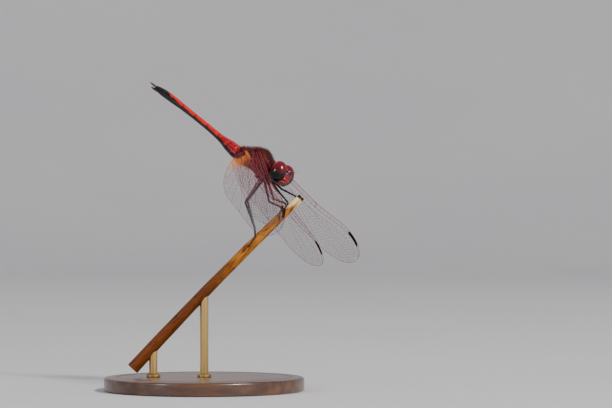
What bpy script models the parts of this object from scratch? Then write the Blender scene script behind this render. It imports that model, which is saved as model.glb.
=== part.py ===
"""A male red-veined dropwing dragonfly, gripping a cut stem that a plain display stand holds up.

Run with blender --background --python part.py. Metres, +Z up; every size below is in millimetres.
The insect is built in its own axes (X forward, Y to its left, Z dorsal) under the empty
"dragonfly_pose". The stem and the stand are built in the world's axes, with the underside of the
base centred on the origin.
"""

import math

import bmesh
import bpy
from mathutils import Euler, Matrix, Vector

MM = 0.001
GAP = 0.05  # clearance between two nodes that meet

# Pose of the insect: centre of the thorax in the world, then roll, nose-down pitch and heading.
THORAX_CENTRE = Vector((9.3, 5.5, 43.55))
BODY_TURN = Euler((math.radians(-16.2), math.radians(17.4), math.radians(-30.0)))

# Perch: a stem that rises from left to right in the plane Y = 0 and bends a little.
STEM_TIP = Vector((18.5, 0.0, 36.8))
STEM_LENGTH = 45.7
STEM_TIP_SLOPE = 43.5
STEM_FOOT_SLOPE = 47.5
STEM_RADII = (0.66, 0.86, 0.95, 1.0, 1.05, 1.13, 1.2)

# Stand.
BASE_RADIUS = 19.0
BASE_THICKNESS = 2.6
BASE_CHAMFER = 0.5
ROD_RADIUS = 0.8
ROD_STATIONS = {"stand_rod_long": 26.0, "stand_rod_short": 40.0}

# Thorax: stations along X with its top, bottom and half width at each.
THORAX_X = (-3.95, -3.4, -2.4, -1.2, 0.0, 1.2, 2.2, 3.0, 3.62)
THORAX_TOP = (0.95, 1.6, 2.05, 2.35, 2.75, 2.95, 2.75, 2.25, 1.6)
THORAX_BOTTOM = (-1.0, -1.3, -1.45, -1.5, -1.65, -2.1, -2.55, -2.75, -2.45)
THORAX_HALF_WIDTH = (0.95, 1.5, 1.9, 2.1, 2.2, 2.2, 2.05, 1.7, 1.25)
PROTHORAX_X = (3.67, 3.95, 4.25, 4.5)
PROTHORAX_TOP = (1.25, 1.5, 1.25, 0.75)
PROTHORAX_BOTTOM = (-2.2, -2.1, -1.6, -0.9)
PROTHORAX_HALF_WIDTH = (1.15, 1.3, 1.1, 0.7)
NECK_LENGTH = 0.55
NECK_HEIGHTS = (-0.05, -0.15)
NECK_RADIUS = 0.5

# Head: its centre, then each piece's offset from it and semi-axes.
HEAD_CENTRE = Vector((6.65, 0.0, -0.5))
EYE_OFFSET = Vector((-0.05, 1.15, 0.08))
EYE_AXES = Vector((1.85, 1.62, 2.1))
FACE_OFFSET = Vector((1.3, 0.0, -0.25))
FACE_AXES = Vector((0.95, 1.12, 1.1))
MOUTH_OFFSET = Vector((0.7, 0.0, -1.45))
MOUTH_AXES = Vector((1.1, 1.2, 0.85))
CAPSULE_OFFSET = Vector((-0.75, 0.0, 0.0))
CAPSULE_AXES = Vector((1.05, 2.0, 1.75))
MIDLINE_CUTTER = 10.0  # side of the cube that keeps each eye on its own side
ANTENNA_LENGTH = 1.7
ANTENNA_ROOT = Vector((1.35, 0.6, 0.95))
ANTENNA_AIM = Vector((0.8, 0.35, 0.55))
ANTENNA_RADII = (0.3, 0.25)

# Abdomen: an arc that starts behind the thorax and climbs, with its size at each segment joint.
ABDOMEN_START = Vector((-3.65, 0.0, 0.2))
ABDOMEN_SLOPES = (20.5, 12.5)
SEGMENT_LENGTHS = (0.9, 1.8, 3.1, 3.5, 3.5, 3.5, 3.2, 2.3, 1.5, 0.9)
JOINT_HEIGHTS = (2.3, 2.85, 2.42, 1.48, 1.28, 1.26, 1.34, 1.58, 1.6, 1.32, 1.0)
JOINT_WIDTHS = (2.2, 2.7, 2.4, 1.6, 1.48, 1.52, 1.66, 1.88, 1.82, 1.44, 1.05)
RIM_LENGTH = 0.12  # how far from each joint the skin turns in
RIM_SHRINKS = (0.93, 0.975, 0.97)  # size at the front end, at its rim and at the rear end
FIRST_TAIL_SEGMENT = 8
CERCUS_LENGTH = 1.7
CERCUS_ASIDE = (0.3, 0.36, 0.33)
CERCUS_ABOVE = (0.16, 0.2, 0.32)
CERCUS_RADII = (0.25, 0.25, 0.24)
EPIPROCT_LENGTH = 1.1
EPIPROCT_ABOVE = (-0.36, -0.38)
EPIPROCT_RADII = (0.27, 0.25)

# Wings: root on the thorax, blade sizes, and how each pair and each side is held.
WING_THICKNESS = 0.5
TRAIL_POWER = 0.87  # under 1 fills out the curve of the rear edge
BASE_POWER = 0.8
ROOT_DEPTH = 0.7  # how far a wing's root reaches into the thorax
FOREWING = {"length": 27.0, "tip_chord": 3.2, "lead_from": 21.0, "nodus": 14.0, "nodus_dip": 0.5,
            "trail_from": 19.5, "trail_chord": 6.6, "inner_chord": 6.2, "base_from": 5.5,
            "base_chord": 1.2}
HINDWING = {"length": 26.0, "tip_chord": 3.1, "lead_from": 20.0, "nodus": 10.7, "nodus_dip": 0.3,
            "trail_from": 16.0, "trail_chord": 7.7, "inner_chord": 8.2, "base_from": 8.0,
            "base_chord": 1.4}
FORE_ROOT = Vector((0.8, 1.5, 2.5))
HIND_ROOT = Vector((-2.2, 1.5, 1.8))
WINGS = {  # name: blade, root, side (1 left, -1 right), degrees swept forward, drooped and twisted
    "wing_fore_left": (FOREWING, FORE_ROOT, 1, 63.4, 51.5, -16.0),
    "wing_fore_right": (FOREWING, FORE_ROOT, -1, 47.8, 42.5, -4.0),
    "wing_hind_left": (HINDWING, HIND_ROOT, 1, 41.9, 41.6, -0.8),
    "wing_hind_right": (HINDWING, HIND_ROOT, -1, 54.7, 45.6, -41.1),
}

# Legs: hip, lengths, and where each foot takes the stem: distance down from the tip, degrees round
# the stem (0 on top, 90 towards -Y), rise of the ankle, and the way the knee points.
FEMUR_RADIUS = 0.3
TIBIA_RADIUS = 0.26
TARSUS_RADIUS = 0.25
HIPS = {"front": Vector((4.45, 0.75, -1.9)), "middle": Vector((3.95, 0.8, -2.45)),
        "hind": Vector((3.05, 0.85, -2.75))}
COXA = Vector((-0.6, 0.0, 0.8))  # from the hip up into the thorax
LEGS = {
    "leg_front_right": {"femur": 4.0, "tibia": 3.4, "grip": (2.8, 13.0), "rise": 0.4,
                        "knee": (0.15, 0.9, -0.4), "slide": 1.6, "wrap": 62.0},
    "leg_front_left": {"femur": 4.0, "tibia": 3.6, "grip": (0.9, -40.0), "rise": 0.3,
                       "knee": (0.45, 0.75, -0.45), "slide": 1.3, "wrap": -35.0},
    "leg_middle_right": {"femur": 4.8, "tibia": 3.8, "grip": (4.5, 15.0), "rise": 0.5,
                         "knee": (-0.2, 0.6, -0.8), "slide": 1.4, "wrap": 80.0},
    "leg_middle_left": {"femur": 4.1, "tibia": 4.0, "grip": (3.35, -26.0), "rise": 0.5,
                        "knee": (-0.3, 0.65, -0.7), "slide": 1.4, "wrap": -60.0},
    "leg_hind_right": {"femur": 6.2, "tibia": 5.3, "grip": (11.6, 52.0), "rise": 1.6,
                       "knee": (-0.3, -0.4, -0.85), "slide": 2.1, "wrap": 30.0},
    "leg_hind_left": {"femur": 6.1, "tibia": 5.3, "grip": (11.6, -46.0), "rise": 1.5,
                      "knee": (-0.9, -0.4, -0.1), "slide": 2.0, "wrap": -40.0},
}

COLOURS = {  # red, green, blue, roughness, metallic
    "abdomen": (0.55, 0.03, 0.02, 0.35, 0.0),
    "tail": (0.04, 0.01, 0.01, 0.4, 0.0),
    "thorax": (0.22, 0.03, 0.025, 0.5, 0.0),
    "eye": (0.13, 0.01, 0.02, 0.15, 0.0),
    "face": (0.6, 0.02, 0.04, 0.25, 0.0),
    "leg": (0.012, 0.012, 0.018, 0.35, 0.0),
    "wing": (0.62, 0.5, 0.5, 0.2, 0.0),
    "stem": (0.5, 0.25, 0.06, 0.6, 0.0),
    "base": (0.09, 0.045, 0.025, 0.4, 0.0),
    "rod": (0.72, 0.55, 0.25, 0.3, 1.0),
}


def clear_scene():
    for obj in list(bpy.data.objects):
        bpy.data.objects.remove(obj)


def make_material(name, colour):
    material = bpy.data.materials.new(name)
    material.use_nodes = True
    shader = material.node_tree.nodes["Principled BSDF"]
    shader.inputs["Base Color"].default_value = (*colour[:3], 1.0)
    shader.inputs["Roughness"].default_value = colour[3]
    shader.inputs["Metallic"].default_value = colour[4]
    material.diffuse_color = (*colour[:3], 1.0)
    return material


def make_object(name, mesh_data, kind, parent=None):
    """An object from a bmesh in millimetres, with a material of its own in the given kind's colour."""
    bmesh.ops.recalc_face_normals(mesh_data, faces=mesh_data.faces)
    bmesh.ops.scale(mesh_data, vec=(MM, MM, MM), verts=mesh_data.verts)
    mesh = bpy.data.meshes.new(name)
    mesh_data.to_mesh(mesh)
    mesh_data.free()
    mesh.materials.append(make_material(name, COLOURS[kind]))
    obj = bpy.data.objects.new(name, mesh)
    bpy.context.scene.collection.objects.link(obj)
    obj.parent = parent
    return obj


def loft(rings):
    """A closed bmesh through rings of equal length, with a flat cap at each end."""
    made = bmesh.new()
    rows = [[made.verts.new(point) for point in ring] for ring in rings]
    for first, second in zip(rows, rows[1:]):
        for i in range(len(first)):
            j = (i + 1) % len(first)
            made.faces.new((first[i], first[j], second[j], second[i]))
    made.faces.new(rows[0])
    made.faces.new(rows[-1])
    return made


def smooth_value(places, values, at):
    """The value at one place, on a smooth curve through (places, values)."""
    last = len(places) - 1
    if at <= places[0]:
        return values[0]
    if at >= places[last]:
        return values[last]
    i = max(k for k in range(last) if places[k] <= at)
    span = places[i + 1] - places[i]
    t = (at - places[i]) / span
    slopes = []
    for k in (i, i + 1):
        low, high = max(k - 1, 0), min(k + 1, last)
        slopes.append((values[high] - values[low]) / (places[high] - places[low]))
    start, end = values[i], values[i + 1]
    return ((2 * t**3 - 3 * t**2 + 1) * start + (t**3 - 2 * t**2 + t) * span * slopes[0]
            + (3 * t**2 - 2 * t**3) * end + (t**3 - t**2) * span * slopes[1])


def oval(centre, side, up, half_width, top, bottom, power, count):
    """A ring of points: a rounded oval, half_width to each side, top above and bottom below centre."""
    ring = []
    for i in range(count):
        angle = 2 * math.pi * i / count
        across, along = math.cos(angle), math.sin(angle)
        x = math.copysign(abs(across) ** (2 / power), across) * half_width
        y = math.copysign(abs(along) ** (2 / power), along) * (top if along > 0 else bottom)
        ring.append(centre + side * x + up * y)
    return ring


def tube(points, radii, count=8):
    """A closed bmesh round a path, with a radius at each of its points."""
    rings = []
    side = None
    for i, point in enumerate(points):
        ahead = points[min(i + 1, len(points) - 1)] - points[max(i - 1, 0)]
        ahead.normalize()
        if side is None:
            side = ahead.orthogonal().normalized()
        side = (side - ahead * side.dot(ahead)).normalized()
        rings.append(oval(point, side, ahead.cross(side), radii[i], radii[i], radii[i], 2.0, count))
    return loft(rings)


def hide_as_cutter(obj):
    obj.hide_render = True
    obj.display_type = "WIRE"
    return obj


def cut(obj, cutter):
    modifier = obj.modifiers.new("cut " + cutter.name, "BOOLEAN")
    modifier.operation = "DIFFERENCE"
    modifier.object = cutter


def torso(stations, tops, bottoms, half_widths, grow, steps, count):
    """Rings of the thorax or prothorax, with grow added all round."""
    rings = []
    first, last = stations[0] - grow, stations[-1] + grow
    for i in range(steps):
        x = first + (last - first) * i / (steps - 1)
        top = smooth_value(stations, tops, x) + grow
        bottom = smooth_value(stations, bottoms, x) - grow
        half_width = smooth_value(stations, half_widths, x) + grow
        middle = (top + bottom) / 2
        rings.append(oval(Vector((x, 0, middle)), Vector((0, 1, 0)), Vector((0, 0, 1)), half_width,
                          top - middle, middle - bottom, 2.25, count))
    return loft(rings)


def build_thorax(body):
    """The thorax, prothorax and neck. It returns the neck, and the thorax grown by the gap for cutting."""
    def thorax_shape(grow):
        return torso(THORAX_X, THORAX_TOP, THORAX_BOTTOM, THORAX_HALF_WIDTH, grow, 17, 20)

    def prothorax_shape(grow):
        return torso(PROTHORAX_X, PROTHORAX_TOP, PROTHORAX_BOTTOM, PROTHORAX_HALF_WIDTH, grow, 6, 16)

    make_object("thorax", thorax_shape(0.0), "thorax", body)
    make_object("prothorax", prothorax_shape(0.0), "thorax", body)
    neck_x = PROTHORAX_X[-1] + GAP
    neck_path = [Vector((neck_x, 0, NECK_HEIGHTS[0])), Vector((neck_x + NECK_LENGTH, 0, NECK_HEIGHTS[1]))]
    neck = make_object("neck", tube(neck_path, [NECK_RADIUS] * 2, 12), "thorax", body)
    cutters = [hide_as_cutter(make_object("thorax_cutter", thorax_shape(GAP), "thorax", body)),
               hide_as_cutter(make_object("prothorax_cutter", prothorax_shape(GAP), "thorax", body))]
    return neck, cutters


def ellipsoid(centre, axes, segments=20, rings=14):
    made = bmesh.new()
    bmesh.ops.create_uvsphere(made, u_segments=segments, v_segments=rings, radius=1.0)
    bmesh.ops.scale(made, vec=axes, verts=made.verts)
    bmesh.ops.translate(made, vec=centre, verts=made.verts)
    return made


def build_head(body, neck):
    """Face and mouth first, then the eyes cut round them, then the capsule cut round all of those."""
    grow = Vector((GAP, GAP, GAP))

    def piece(name, offset, axes, kind, detail=(20, 14)):
        centre = HEAD_CENTRE + offset
        made = make_object(name, ellipsoid(centre, axes, *detail), kind, body)
        cutter = make_object(name + "_cutter", ellipsoid(centre, axes + grow, *detail), kind, body)
        return made, hide_as_cutter(cutter)

    face, face_cutter = piece("face", FACE_OFFSET, FACE_AXES, "face", (16, 10))
    mouth, mouth_cutter = piece("mouth", MOUTH_OFFSET, MOUTH_AXES, "eye", (16, 10))
    cut(mouth, face_cutter)
    capsule, capsule_cutter = piece("head_capsule", CAPSULE_OFFSET, CAPSULE_AXES, "eye", (18, 12))
    for side, word in ((1, "left"), (-1, "right")):
        offset = Vector((EYE_OFFSET.x, side * EYE_OFFSET.y, EYE_OFFSET.z))
        eye, eye_cutter = piece("eye_" + word, offset, EYE_AXES, "eye")
        half = bmesh.new()
        bmesh.ops.create_cube(half, size=MIDLINE_CUTTER)
        across = HEAD_CENTRE - Vector((0, side * (MIDLINE_CUTTER - GAP) / 2, 0))
        bmesh.ops.translate(half, vec=across, verts=half.verts)
        other_half = hide_as_cutter(make_object("midline_cutter_" + word, half, "eye", body))
        for cutter in (other_half, face_cutter, mouth_cutter):
            cut(eye, cutter)
        cut(capsule, eye_cutter)
        root = HEAD_CENTRE + Vector((ANTENNA_ROOT.x, side * ANTENNA_ROOT.y, ANTENNA_ROOT.z))
        aim = Vector((ANTENNA_AIM.x, side * ANTENNA_AIM.y, ANTENNA_AIM.z)).normalized()
        antenna_path = [root, root + aim * ANTENNA_LENGTH]
        antenna = make_object("antenna_" + word, tube(antenna_path, ANTENNA_RADII), "leg", body)
        cut(antenna, face_cutter)
        cut(antenna, eye_cutter)
    for cutter in (face_cutter, mouth_cutter):
        cut(capsule, cutter)
    cut(neck, capsule_cutter)


def abdomen_place(along):
    """Centre and forward direction of the abdomen, along millimetres behind its start."""
    total = sum(SEGMENT_LENGTHS) + CERCUS_LENGTH
    first, last = (math.radians(slope) for slope in ABDOMEN_SLOPES)
    turn = (last - first) / total
    angle = first + turn * along
    back = (math.sin(angle) - math.sin(first)) / turn
    rise = (math.cos(first) - math.cos(angle)) / turn
    return ABDOMEN_START + Vector((-back, 0, rise)), Vector((math.cos(angle), 0, -math.sin(angle)))


def abdomen_ring(along, shrink=1.0, count=16):
    joints = [sum(SEGMENT_LENGTHS[:i]) for i in range(len(SEGMENT_LENGTHS) + 1)]
    centre, ahead = abdomen_place(along)
    side = Vector((0, 1, 0))
    half_width = smooth_value(joints, JOINT_WIDTHS, along) / 2 * shrink
    half_height = smooth_value(joints, JOINT_HEIGHTS, along) / 2 * shrink
    return oval(centre, side, ahead.cross(side), half_width, half_height, half_height, 2.1, count)


def tail_point(along, aside, above):
    centre, ahead = abdomen_place(along)
    return centre + Vector((0, aside, 0)) + ahead.cross(Vector((0, 1, 0))) * above


def build_abdomen(body, thorax_cutter):
    start = 0.0
    for number, length in enumerate(SEGMENT_LENGTHS, 1):
        stations = [GAP / 2, RIM_LENGTH, length / 4, length / 2, length * 3 / 4, length - RIM_LENGTH,
                    length - GAP / 2]
        shrinks = [RIM_SHRINKS[0], RIM_SHRINKS[1], 1.0, 1.0, 1.0, 1.0, RIM_SHRINKS[2]]
        rings = [abdomen_ring(start + at, shrink) for at, shrink in zip(stations, shrinks)]
        kind = "tail" if number >= FIRST_TAIL_SEGMENT else "abdomen"
        segment = make_object(f"abdomen_{number}", loft(rings), kind, body)
        if number == 1:
            cut(segment, thorax_cutter)
        start += length
    places = (start + GAP, start + CERCUS_LENGTH / 2, start + CERCUS_LENGTH)
    for side, word in ((1, "left"), (-1, "right")):
        points = [tail_point(at, side * aside, above)
                  for at, aside, above in zip(places, CERCUS_ASIDE, CERCUS_ABOVE)]
        make_object("cercus_" + word, tube(points, CERCUS_RADII), "tail", body)
    places = (start + GAP, start + EPIPROCT_LENGTH)
    points = [tail_point(at, 0, above) for at, above in zip(places, EPIPROCT_ABOVE)]
    make_object("epiproct", tube(points, EPIPROCT_RADII), "tail", body)


def lead_edge(blade, along):
    """How far the front edge dips back: nothing at the root, most at the nodus, nothing by the tip."""
    if along < blade["nodus"]:
        share = along / blade["nodus"]
    else:
        share = (blade["lead_from"] - along) / (blade["lead_from"] - blade["nodus"])
    return blade["nodus_dip"] * math.sin(math.pi / 2 * share) ** 2


def wing_outline(blade, lead_steps=9, tip_steps=9, base_steps=6):
    """Points round a wing: X out along the blade, Y from the front edge back."""
    length, tip = blade["length"], blade["tip_chord"]
    outline = [(0.0, 0.0)]
    for i in range(1, lead_steps):
        along = blade["lead_from"] * i / lead_steps
        outline.append((along, lead_edge(blade, along)))
    for i in range(tip_steps):
        angle = math.pi / 2 * i / (tip_steps - 1)
        outline.append((blade["lead_from"] + (length - blade["lead_from"]) * math.sin(angle),
                        tip * (1 - math.cos(angle))))
    reach = length - blade["trail_from"]
    for i in range(1, tip_steps):
        angle = math.pi / 2 * i / (tip_steps - 1)
        outline.append((blade["trail_from"] + reach * math.cos(angle) ** TRAIL_POWER,
                        tip + (blade["trail_chord"] - tip) * math.sin(angle) ** TRAIL_POWER))
    lobe = blade["inner_chord"] - blade["base_chord"]
    for i in range(base_steps + 1):
        angle = math.pi / 2 * i / base_steps
        outline.append((blade["base_from"] * (1 - math.sin(angle) ** BASE_POWER),
                        blade["base_chord"] + lobe * math.cos(angle) ** BASE_POWER))
    outline.append((-ROOT_DEPTH, blade["base_chord"] * 0.8))
    return outline


def wing_matrix(root, side, sweep, droop, twist):
    sweep, droop, twist = math.radians(sweep), math.radians(droop), math.radians(twist)
    span = Vector((math.sin(sweep), math.cos(sweep) * math.cos(droop), -math.cos(sweep) * math.sin(droop)))
    chord = Vector((-1, 0, 0))
    chord = (chord - span * chord.dot(span)).normalized()
    chord = chord * math.cos(twist) + span.cross(chord) * math.sin(twist)
    mirror = Vector((1, side, 1))
    span, chord, place = span * mirror, chord * mirror, root * mirror
    axes = Matrix((span, chord, span.cross(chord))).transposed()
    return Matrix.Translation(place * MM) @ axes.to_4x4()


def build_wings(body, cutters):
    for name, (blade, root, side, sweep, droop, twist) in WINGS.items():
        outline = wing_outline(blade)
        faces = (-WING_THICKNESS / 2, WING_THICKNESS / 2)
        rings = [[Vector((x, y, z)) for x, y in outline] for z in faces]
        wing = make_object(name, loft(rings), "wing", body)
        wing.matrix_local = wing_matrix(root, side, sweep, droop, twist)
        for cutter in cutters:
            cut(wing, cutter)


def stem_place(along):
    """Centre of the stem and its direction down, along millimetres from the tip."""
    first, last = math.radians(STEM_TIP_SLOPE), math.radians(STEM_FOOT_SLOPE)
    turn = (last - first) / STEM_LENGTH
    angle = first + turn * along
    run = (math.sin(angle) - math.sin(first)) / turn
    fall = (math.cos(first) - math.cos(angle)) / turn
    return STEM_TIP + Vector((-run, 0, -fall)), Vector((-math.cos(angle), 0, -math.sin(angle)))


def stem_radius(along):
    places = [STEM_LENGTH * i / (len(STEM_RADII) - 1) for i in range(len(STEM_RADII))]
    return smooth_value(places, STEM_RADII, along)


def stem_surface(along, degrees, clearance):
    """A point outside the stem; 0 degrees is its upper side and 90 its side towards -Y."""
    centre, down = stem_place(along)
    upper = Vector((down.z, 0, -down.x))
    turn = math.radians(degrees)
    out = upper * math.cos(turn) + Vector((0, -1, 0)) * math.sin(turn)
    return centre + out * (stem_radius(along) + clearance)


def stem_shape(grow, steps=16, count=14):
    points = [stem_place(STEM_LENGTH * i / (steps - 1))[0] for i in range(steps)]
    radii = [stem_radius(STEM_LENGTH * i / (steps - 1)) + grow for i in range(steps)]
    return tube(points, radii, count)


def knee_place(hip, ankle, femur, tibia, towards):
    """The knee of a leg of two lengths between hip and ankle, bent towards a direction."""
    reach = ankle - hip
    distance = min(reach.length, (femur + tibia) * 0.995)
    reach.normalize()
    along = (femur**2 - tibia**2 + distance**2) / (2 * distance)
    out = (towards - reach * towards.dot(reach)).normalized()
    return hip + reach * along + out * math.sqrt(max(femur**2 - along**2, 0.0))


def build_legs(body, cutters):
    to_body = (Matrix.Translation(THORAX_CENTRE) @ BODY_TURN.to_matrix().to_4x4()).inverted()
    up = to_body.to_3x3() @ Vector((0, 0, 1))
    clearance = TARSUS_RADIUS + GAP
    for name, leg in LEGS.items():
        _, pair, side = name.split("_")
        mirror = Vector((1, 1 if side == "left" else -1, 1))
        hip = HIPS[pair] * mirror
        along, degrees = leg["grip"]
        sole = [to_body @ stem_surface(along + leg["slide"] * t, degrees + leg["wrap"] * t, clearance)
                for t in (0, 0.33, 0.67, 1)]
        ankle = sole[0] + up * leg["rise"]
        knee = knee_place(hip, ankle, leg["femur"], leg["tibia"], Vector(leg["knee"]))
        thigh = (knee - hip).normalized()
        shin = (ankle - knee).normalized()
        foot = (sole[0] - ankle).normalized()
        space = TIBIA_RADIUS + GAP
        femur_path = [hip + COXA, hip, hip + thigh * leg["femur"] / 3, knee - thigh * GAP]
        femur_radii = [FEMUR_RADIUS, FEMUR_RADIUS, FEMUR_RADIUS, TIBIA_RADIUS]
        femur = make_object(name + "_femur", tube(femur_path, femur_radii), "leg", body)
        for cutter in cutters:
            cut(femur, cutter)
        tibia_path = [knee + shin * space, ankle - shin * GAP]
        make_object(name + "_tibia", tube(tibia_path, [TIBIA_RADIUS] * 2), "leg", body)
        tarsus_path = [ankle + foot * space, *sole]
        make_object(name + "_tarsus", tube(tarsus_path, [TARSUS_RADIUS] * 5), "leg", body)


def build_stand():
    make_object("stem", stem_shape(0.0), "stem")
    stem_cutter = hide_as_cutter(make_object("stem_cutter", stem_shape(GAP), "stem"))
    disc = [(BASE_RADIUS, 0.0), (BASE_RADIUS, BASE_THICKNESS - BASE_CHAMFER),
            (BASE_RADIUS - BASE_CHAMFER, BASE_THICKNESS)]
    rings = [oval(Vector((0, 0, z)), Vector((1, 0, 0)), Vector((0, 1, 0)), radius, radius, radius, 2.0, 64)
             for radius, z in disc]
    make_object("stand_base", loft(rings), "base")
    for name, along in ROD_STATIONS.items():
        top = stem_place(along)[0]
        foot = Vector((top.x, 0, BASE_THICKNESS + GAP))
        rod = make_object(name, tube([foot, top], [ROD_RADIUS] * 2, 20), "rod")
        cut(rod, stem_cutter)


def main():
    clear_scene()
    body = bpy.data.objects.new("dragonfly_pose", None)
    bpy.context.scene.collection.objects.link(body)
    body.location = THORAX_CENTRE * MM
    body.rotation_euler = BODY_TURN
    neck, cutters = build_thorax(body)
    build_head(body, neck)
    build_abdomen(body, cutters[0])
    build_wings(body, cutters)
    build_legs(body, cutters)
    build_stand()


main()
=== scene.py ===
# A male dropwing dragonfly that grips a cut stem, on a small display stand.
# Sizes are in millimetres. Each piece is modelled in its own axes and then settled into the frame.

import math
import random

import bmesh
import bpy
from mathutils import Euler, Matrix, Vector, noise
from mathutils.geometry import delaunay_2d_cdt


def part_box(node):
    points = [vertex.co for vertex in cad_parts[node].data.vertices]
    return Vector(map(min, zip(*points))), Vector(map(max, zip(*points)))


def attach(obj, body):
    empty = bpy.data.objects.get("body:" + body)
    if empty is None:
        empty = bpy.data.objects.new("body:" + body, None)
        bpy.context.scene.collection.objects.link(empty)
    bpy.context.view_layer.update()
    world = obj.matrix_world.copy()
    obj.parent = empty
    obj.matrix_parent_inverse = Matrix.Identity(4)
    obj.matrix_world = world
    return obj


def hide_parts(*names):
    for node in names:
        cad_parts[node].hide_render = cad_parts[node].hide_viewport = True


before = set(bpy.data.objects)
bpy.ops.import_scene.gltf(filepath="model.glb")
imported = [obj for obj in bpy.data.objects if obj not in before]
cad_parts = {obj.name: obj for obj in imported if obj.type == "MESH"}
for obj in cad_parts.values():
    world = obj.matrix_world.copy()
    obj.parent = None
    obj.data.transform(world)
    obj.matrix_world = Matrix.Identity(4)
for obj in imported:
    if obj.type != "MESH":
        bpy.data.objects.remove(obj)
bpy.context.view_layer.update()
mm = 0.001

# The insect's own axes: X towards its head, Y to its left, Z out of its back.
pose = {"place": (9.3, 5.5, 43.55), "turn": (-16.2, 17.4, -30.0)}
bodyTurn = Euler([math.radians(angle) for angle in pose["turn"]]).to_matrix().to_4x4()
bodyMatrix = Matrix.Translation(Vector(pose["place"]) * mm) @ bodyTurn @ Matrix.Scale(mm, 4)
worldMatrix = Matrix.Scale(mm, 4)
toBody = bodyMatrix.inverted()
toStand = worldMatrix.inverted()
sideWords = ((1, "left"), (-1, "right"))


def clamp(value, low=0.0, high=1.0):
    return min(max(value, low), high)


def hump(value, width):
    return math.exp(-(value / width) ** 2)


def squarer(value, power):
    return math.copysign(abs(value) ** power, value)


def fullTurn(count):
    return [2 * math.pi * k / count for k in range(count)]


def between(start, end, *shares):
    return [start.lerp(end, share) for share in shares]


def onSide(spot, side):
    # a place given for the left side, on the left (1) or the right (-1)
    return Vector(spot) * Vector((1, side, 1))


def deselect():
    if bpy.context.mode != "OBJECT":
        bpy.ops.object.mode_set(mode="OBJECT")
    bpy.ops.object.select_all(action="DESELECT")


def pick(*pieces):
    deselect()
    for piece in pieces:
        piece.select_set(True)
    bpy.context.view_layer.objects.active = pieces[0]


def editAll(piece):
    pick(piece)
    bpy.ops.object.mode_set(mode="EDIT")
    bpy.ops.mesh.select_all(action="SELECT")


def joinAll(name, parts):
    pick(*parts)
    if len(parts) > 1:
        bpy.ops.object.join()
    piece = bpy.context.view_layer.objects.active
    piece.name = name
    return piece


def pushOut(piece, amount):
    # moves each point along its normal by amount(point)
    for vertex, normal in zip(piece.data.vertices, [v.normal.copy() for v in piece.data.vertices]):
        vertex.co = vertex.co + normal * amount(vertex.co)


def fuse(name, parts, voxel, smoothing):
    # the parts as one softened skin
    piece = joinAll(name, parts)
    remesh = piece.modifiers.new("one skin", "REMESH")
    remesh.mode = "VOXEL"
    remesh.voxel_size = voxel
    smooth = piece.modifiers.new("soften", "SMOOTH")
    smooth.factor = 0.5
    smooth.iterations = smoothing
    pick(piece)
    for modifier in list(piece.modifiers):
        bpy.ops.object.modifier_apply(modifier=modifier.name)
    return piece


def cleanEdges(piece, threshold=0.0005, capped=True):
    editAll(piece)
    bpy.ops.mesh.remove_doubles(threshold=threshold)
    if capped:
        bpy.ops.mesh.fill_holes(sides=0)
    bpy.ops.mesh.normals_make_consistent(inside=False)
    bpy.ops.object.mode_set(mode="OBJECT")


def flatGrid(name, columns, rows, placeAt):
    # a grid whose points go to placeAt(row, column)
    deselect()
    bpy.ops.mesh.primitive_grid_add(x_subdivisions=columns, y_subdivisions=rows, size=1.0)
    piece = bpy.context.object
    piece.name = name
    for vertex in piece.data.vertices:
        vertex.co = placeAt(*divmod(vertex.index, columns + 1))
    return piece


def rollGrid(name, rings, capped=True):
    # a flat grid rolled into a tube through rings of points
    sides = len(rings[0])
    piece = flatGrid(name, sides, len(rings) - 1, lambda ring, turn: rings[ring][turn % sides])
    cleanEdges(piece, capped=capped)
    return piece


def turned(name, profile, sides, centre=(0.0, 0.0), capped=True):
    # a profile of (radius, height) pairs turned round an upright line
    rings = [[Vector((centre[0] + radius * math.cos(angle), centre[1] + radius * math.sin(angle), height))
              for angle in fullTurn(sides)] for radius, height in profile]
    return rollGrid(name, rings, capped)


def roundBlob(name, centre, axes, segments=24, rings=16, square=1.0):
    # a ball pulled to three half sizes; under 1, square makes it boxier
    deselect()
    bpy.ops.mesh.primitive_uv_sphere_add(segments=segments, ring_count=rings, radius=1.0)
    piece = bpy.context.object
    piece.name = name
    for vertex in piece.data.vertices:
        spread = [squarer(part, square) * axis for part, axis in zip(vertex.co, axes)]
        vertex.co = Vector(centre) + Vector(spread)
    return piece


def roundTube(name, points, radii, sides=12, flat=1.0):
    # a tube along a path; flat squeezes it across its second axis
    rings = []
    side = None
    for i, point in enumerate(points):
        ahead = (points[min(i + 1, len(points) - 1)] - points[max(i - 1, 0)]).normalized()
        if side is None:
            side = ahead.orthogonal().normalized()
        side = (side - ahead * side.dot(ahead)).normalized()
        up = ahead.cross(side)
        rings.append([point + (side * math.cos(angle) + up * math.sin(angle) * flat) * radii[i]
                      for angle in fullTurn(sides)])
    return rollGrid(name, rings)


def wires(name, chains, sides=0):
    # thin round bars along chains of (place, radius)
    curve = bpy.data.curves.new(name, "CURVE")
    curve.dimensions = "3D"
    curve.bevel_depth = 1.0
    curve.bevel_resolution = sides
    curve.use_fill_caps = True
    for chain in chains:
        spline = curve.splines.new("POLY")
        spline.points.add(len(chain) - 1)
        for point, (place, radius) in zip(spline.points, chain):
            point.co = (*place, 1.0)
            point.radius = radius
    piece = bpy.data.objects.new(name, curve)
    bpy.context.scene.collection.objects.link(piece)
    pick(piece)
    bpy.ops.object.convert(target="MESH")
    return bpy.context.view_layer.objects.active


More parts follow.
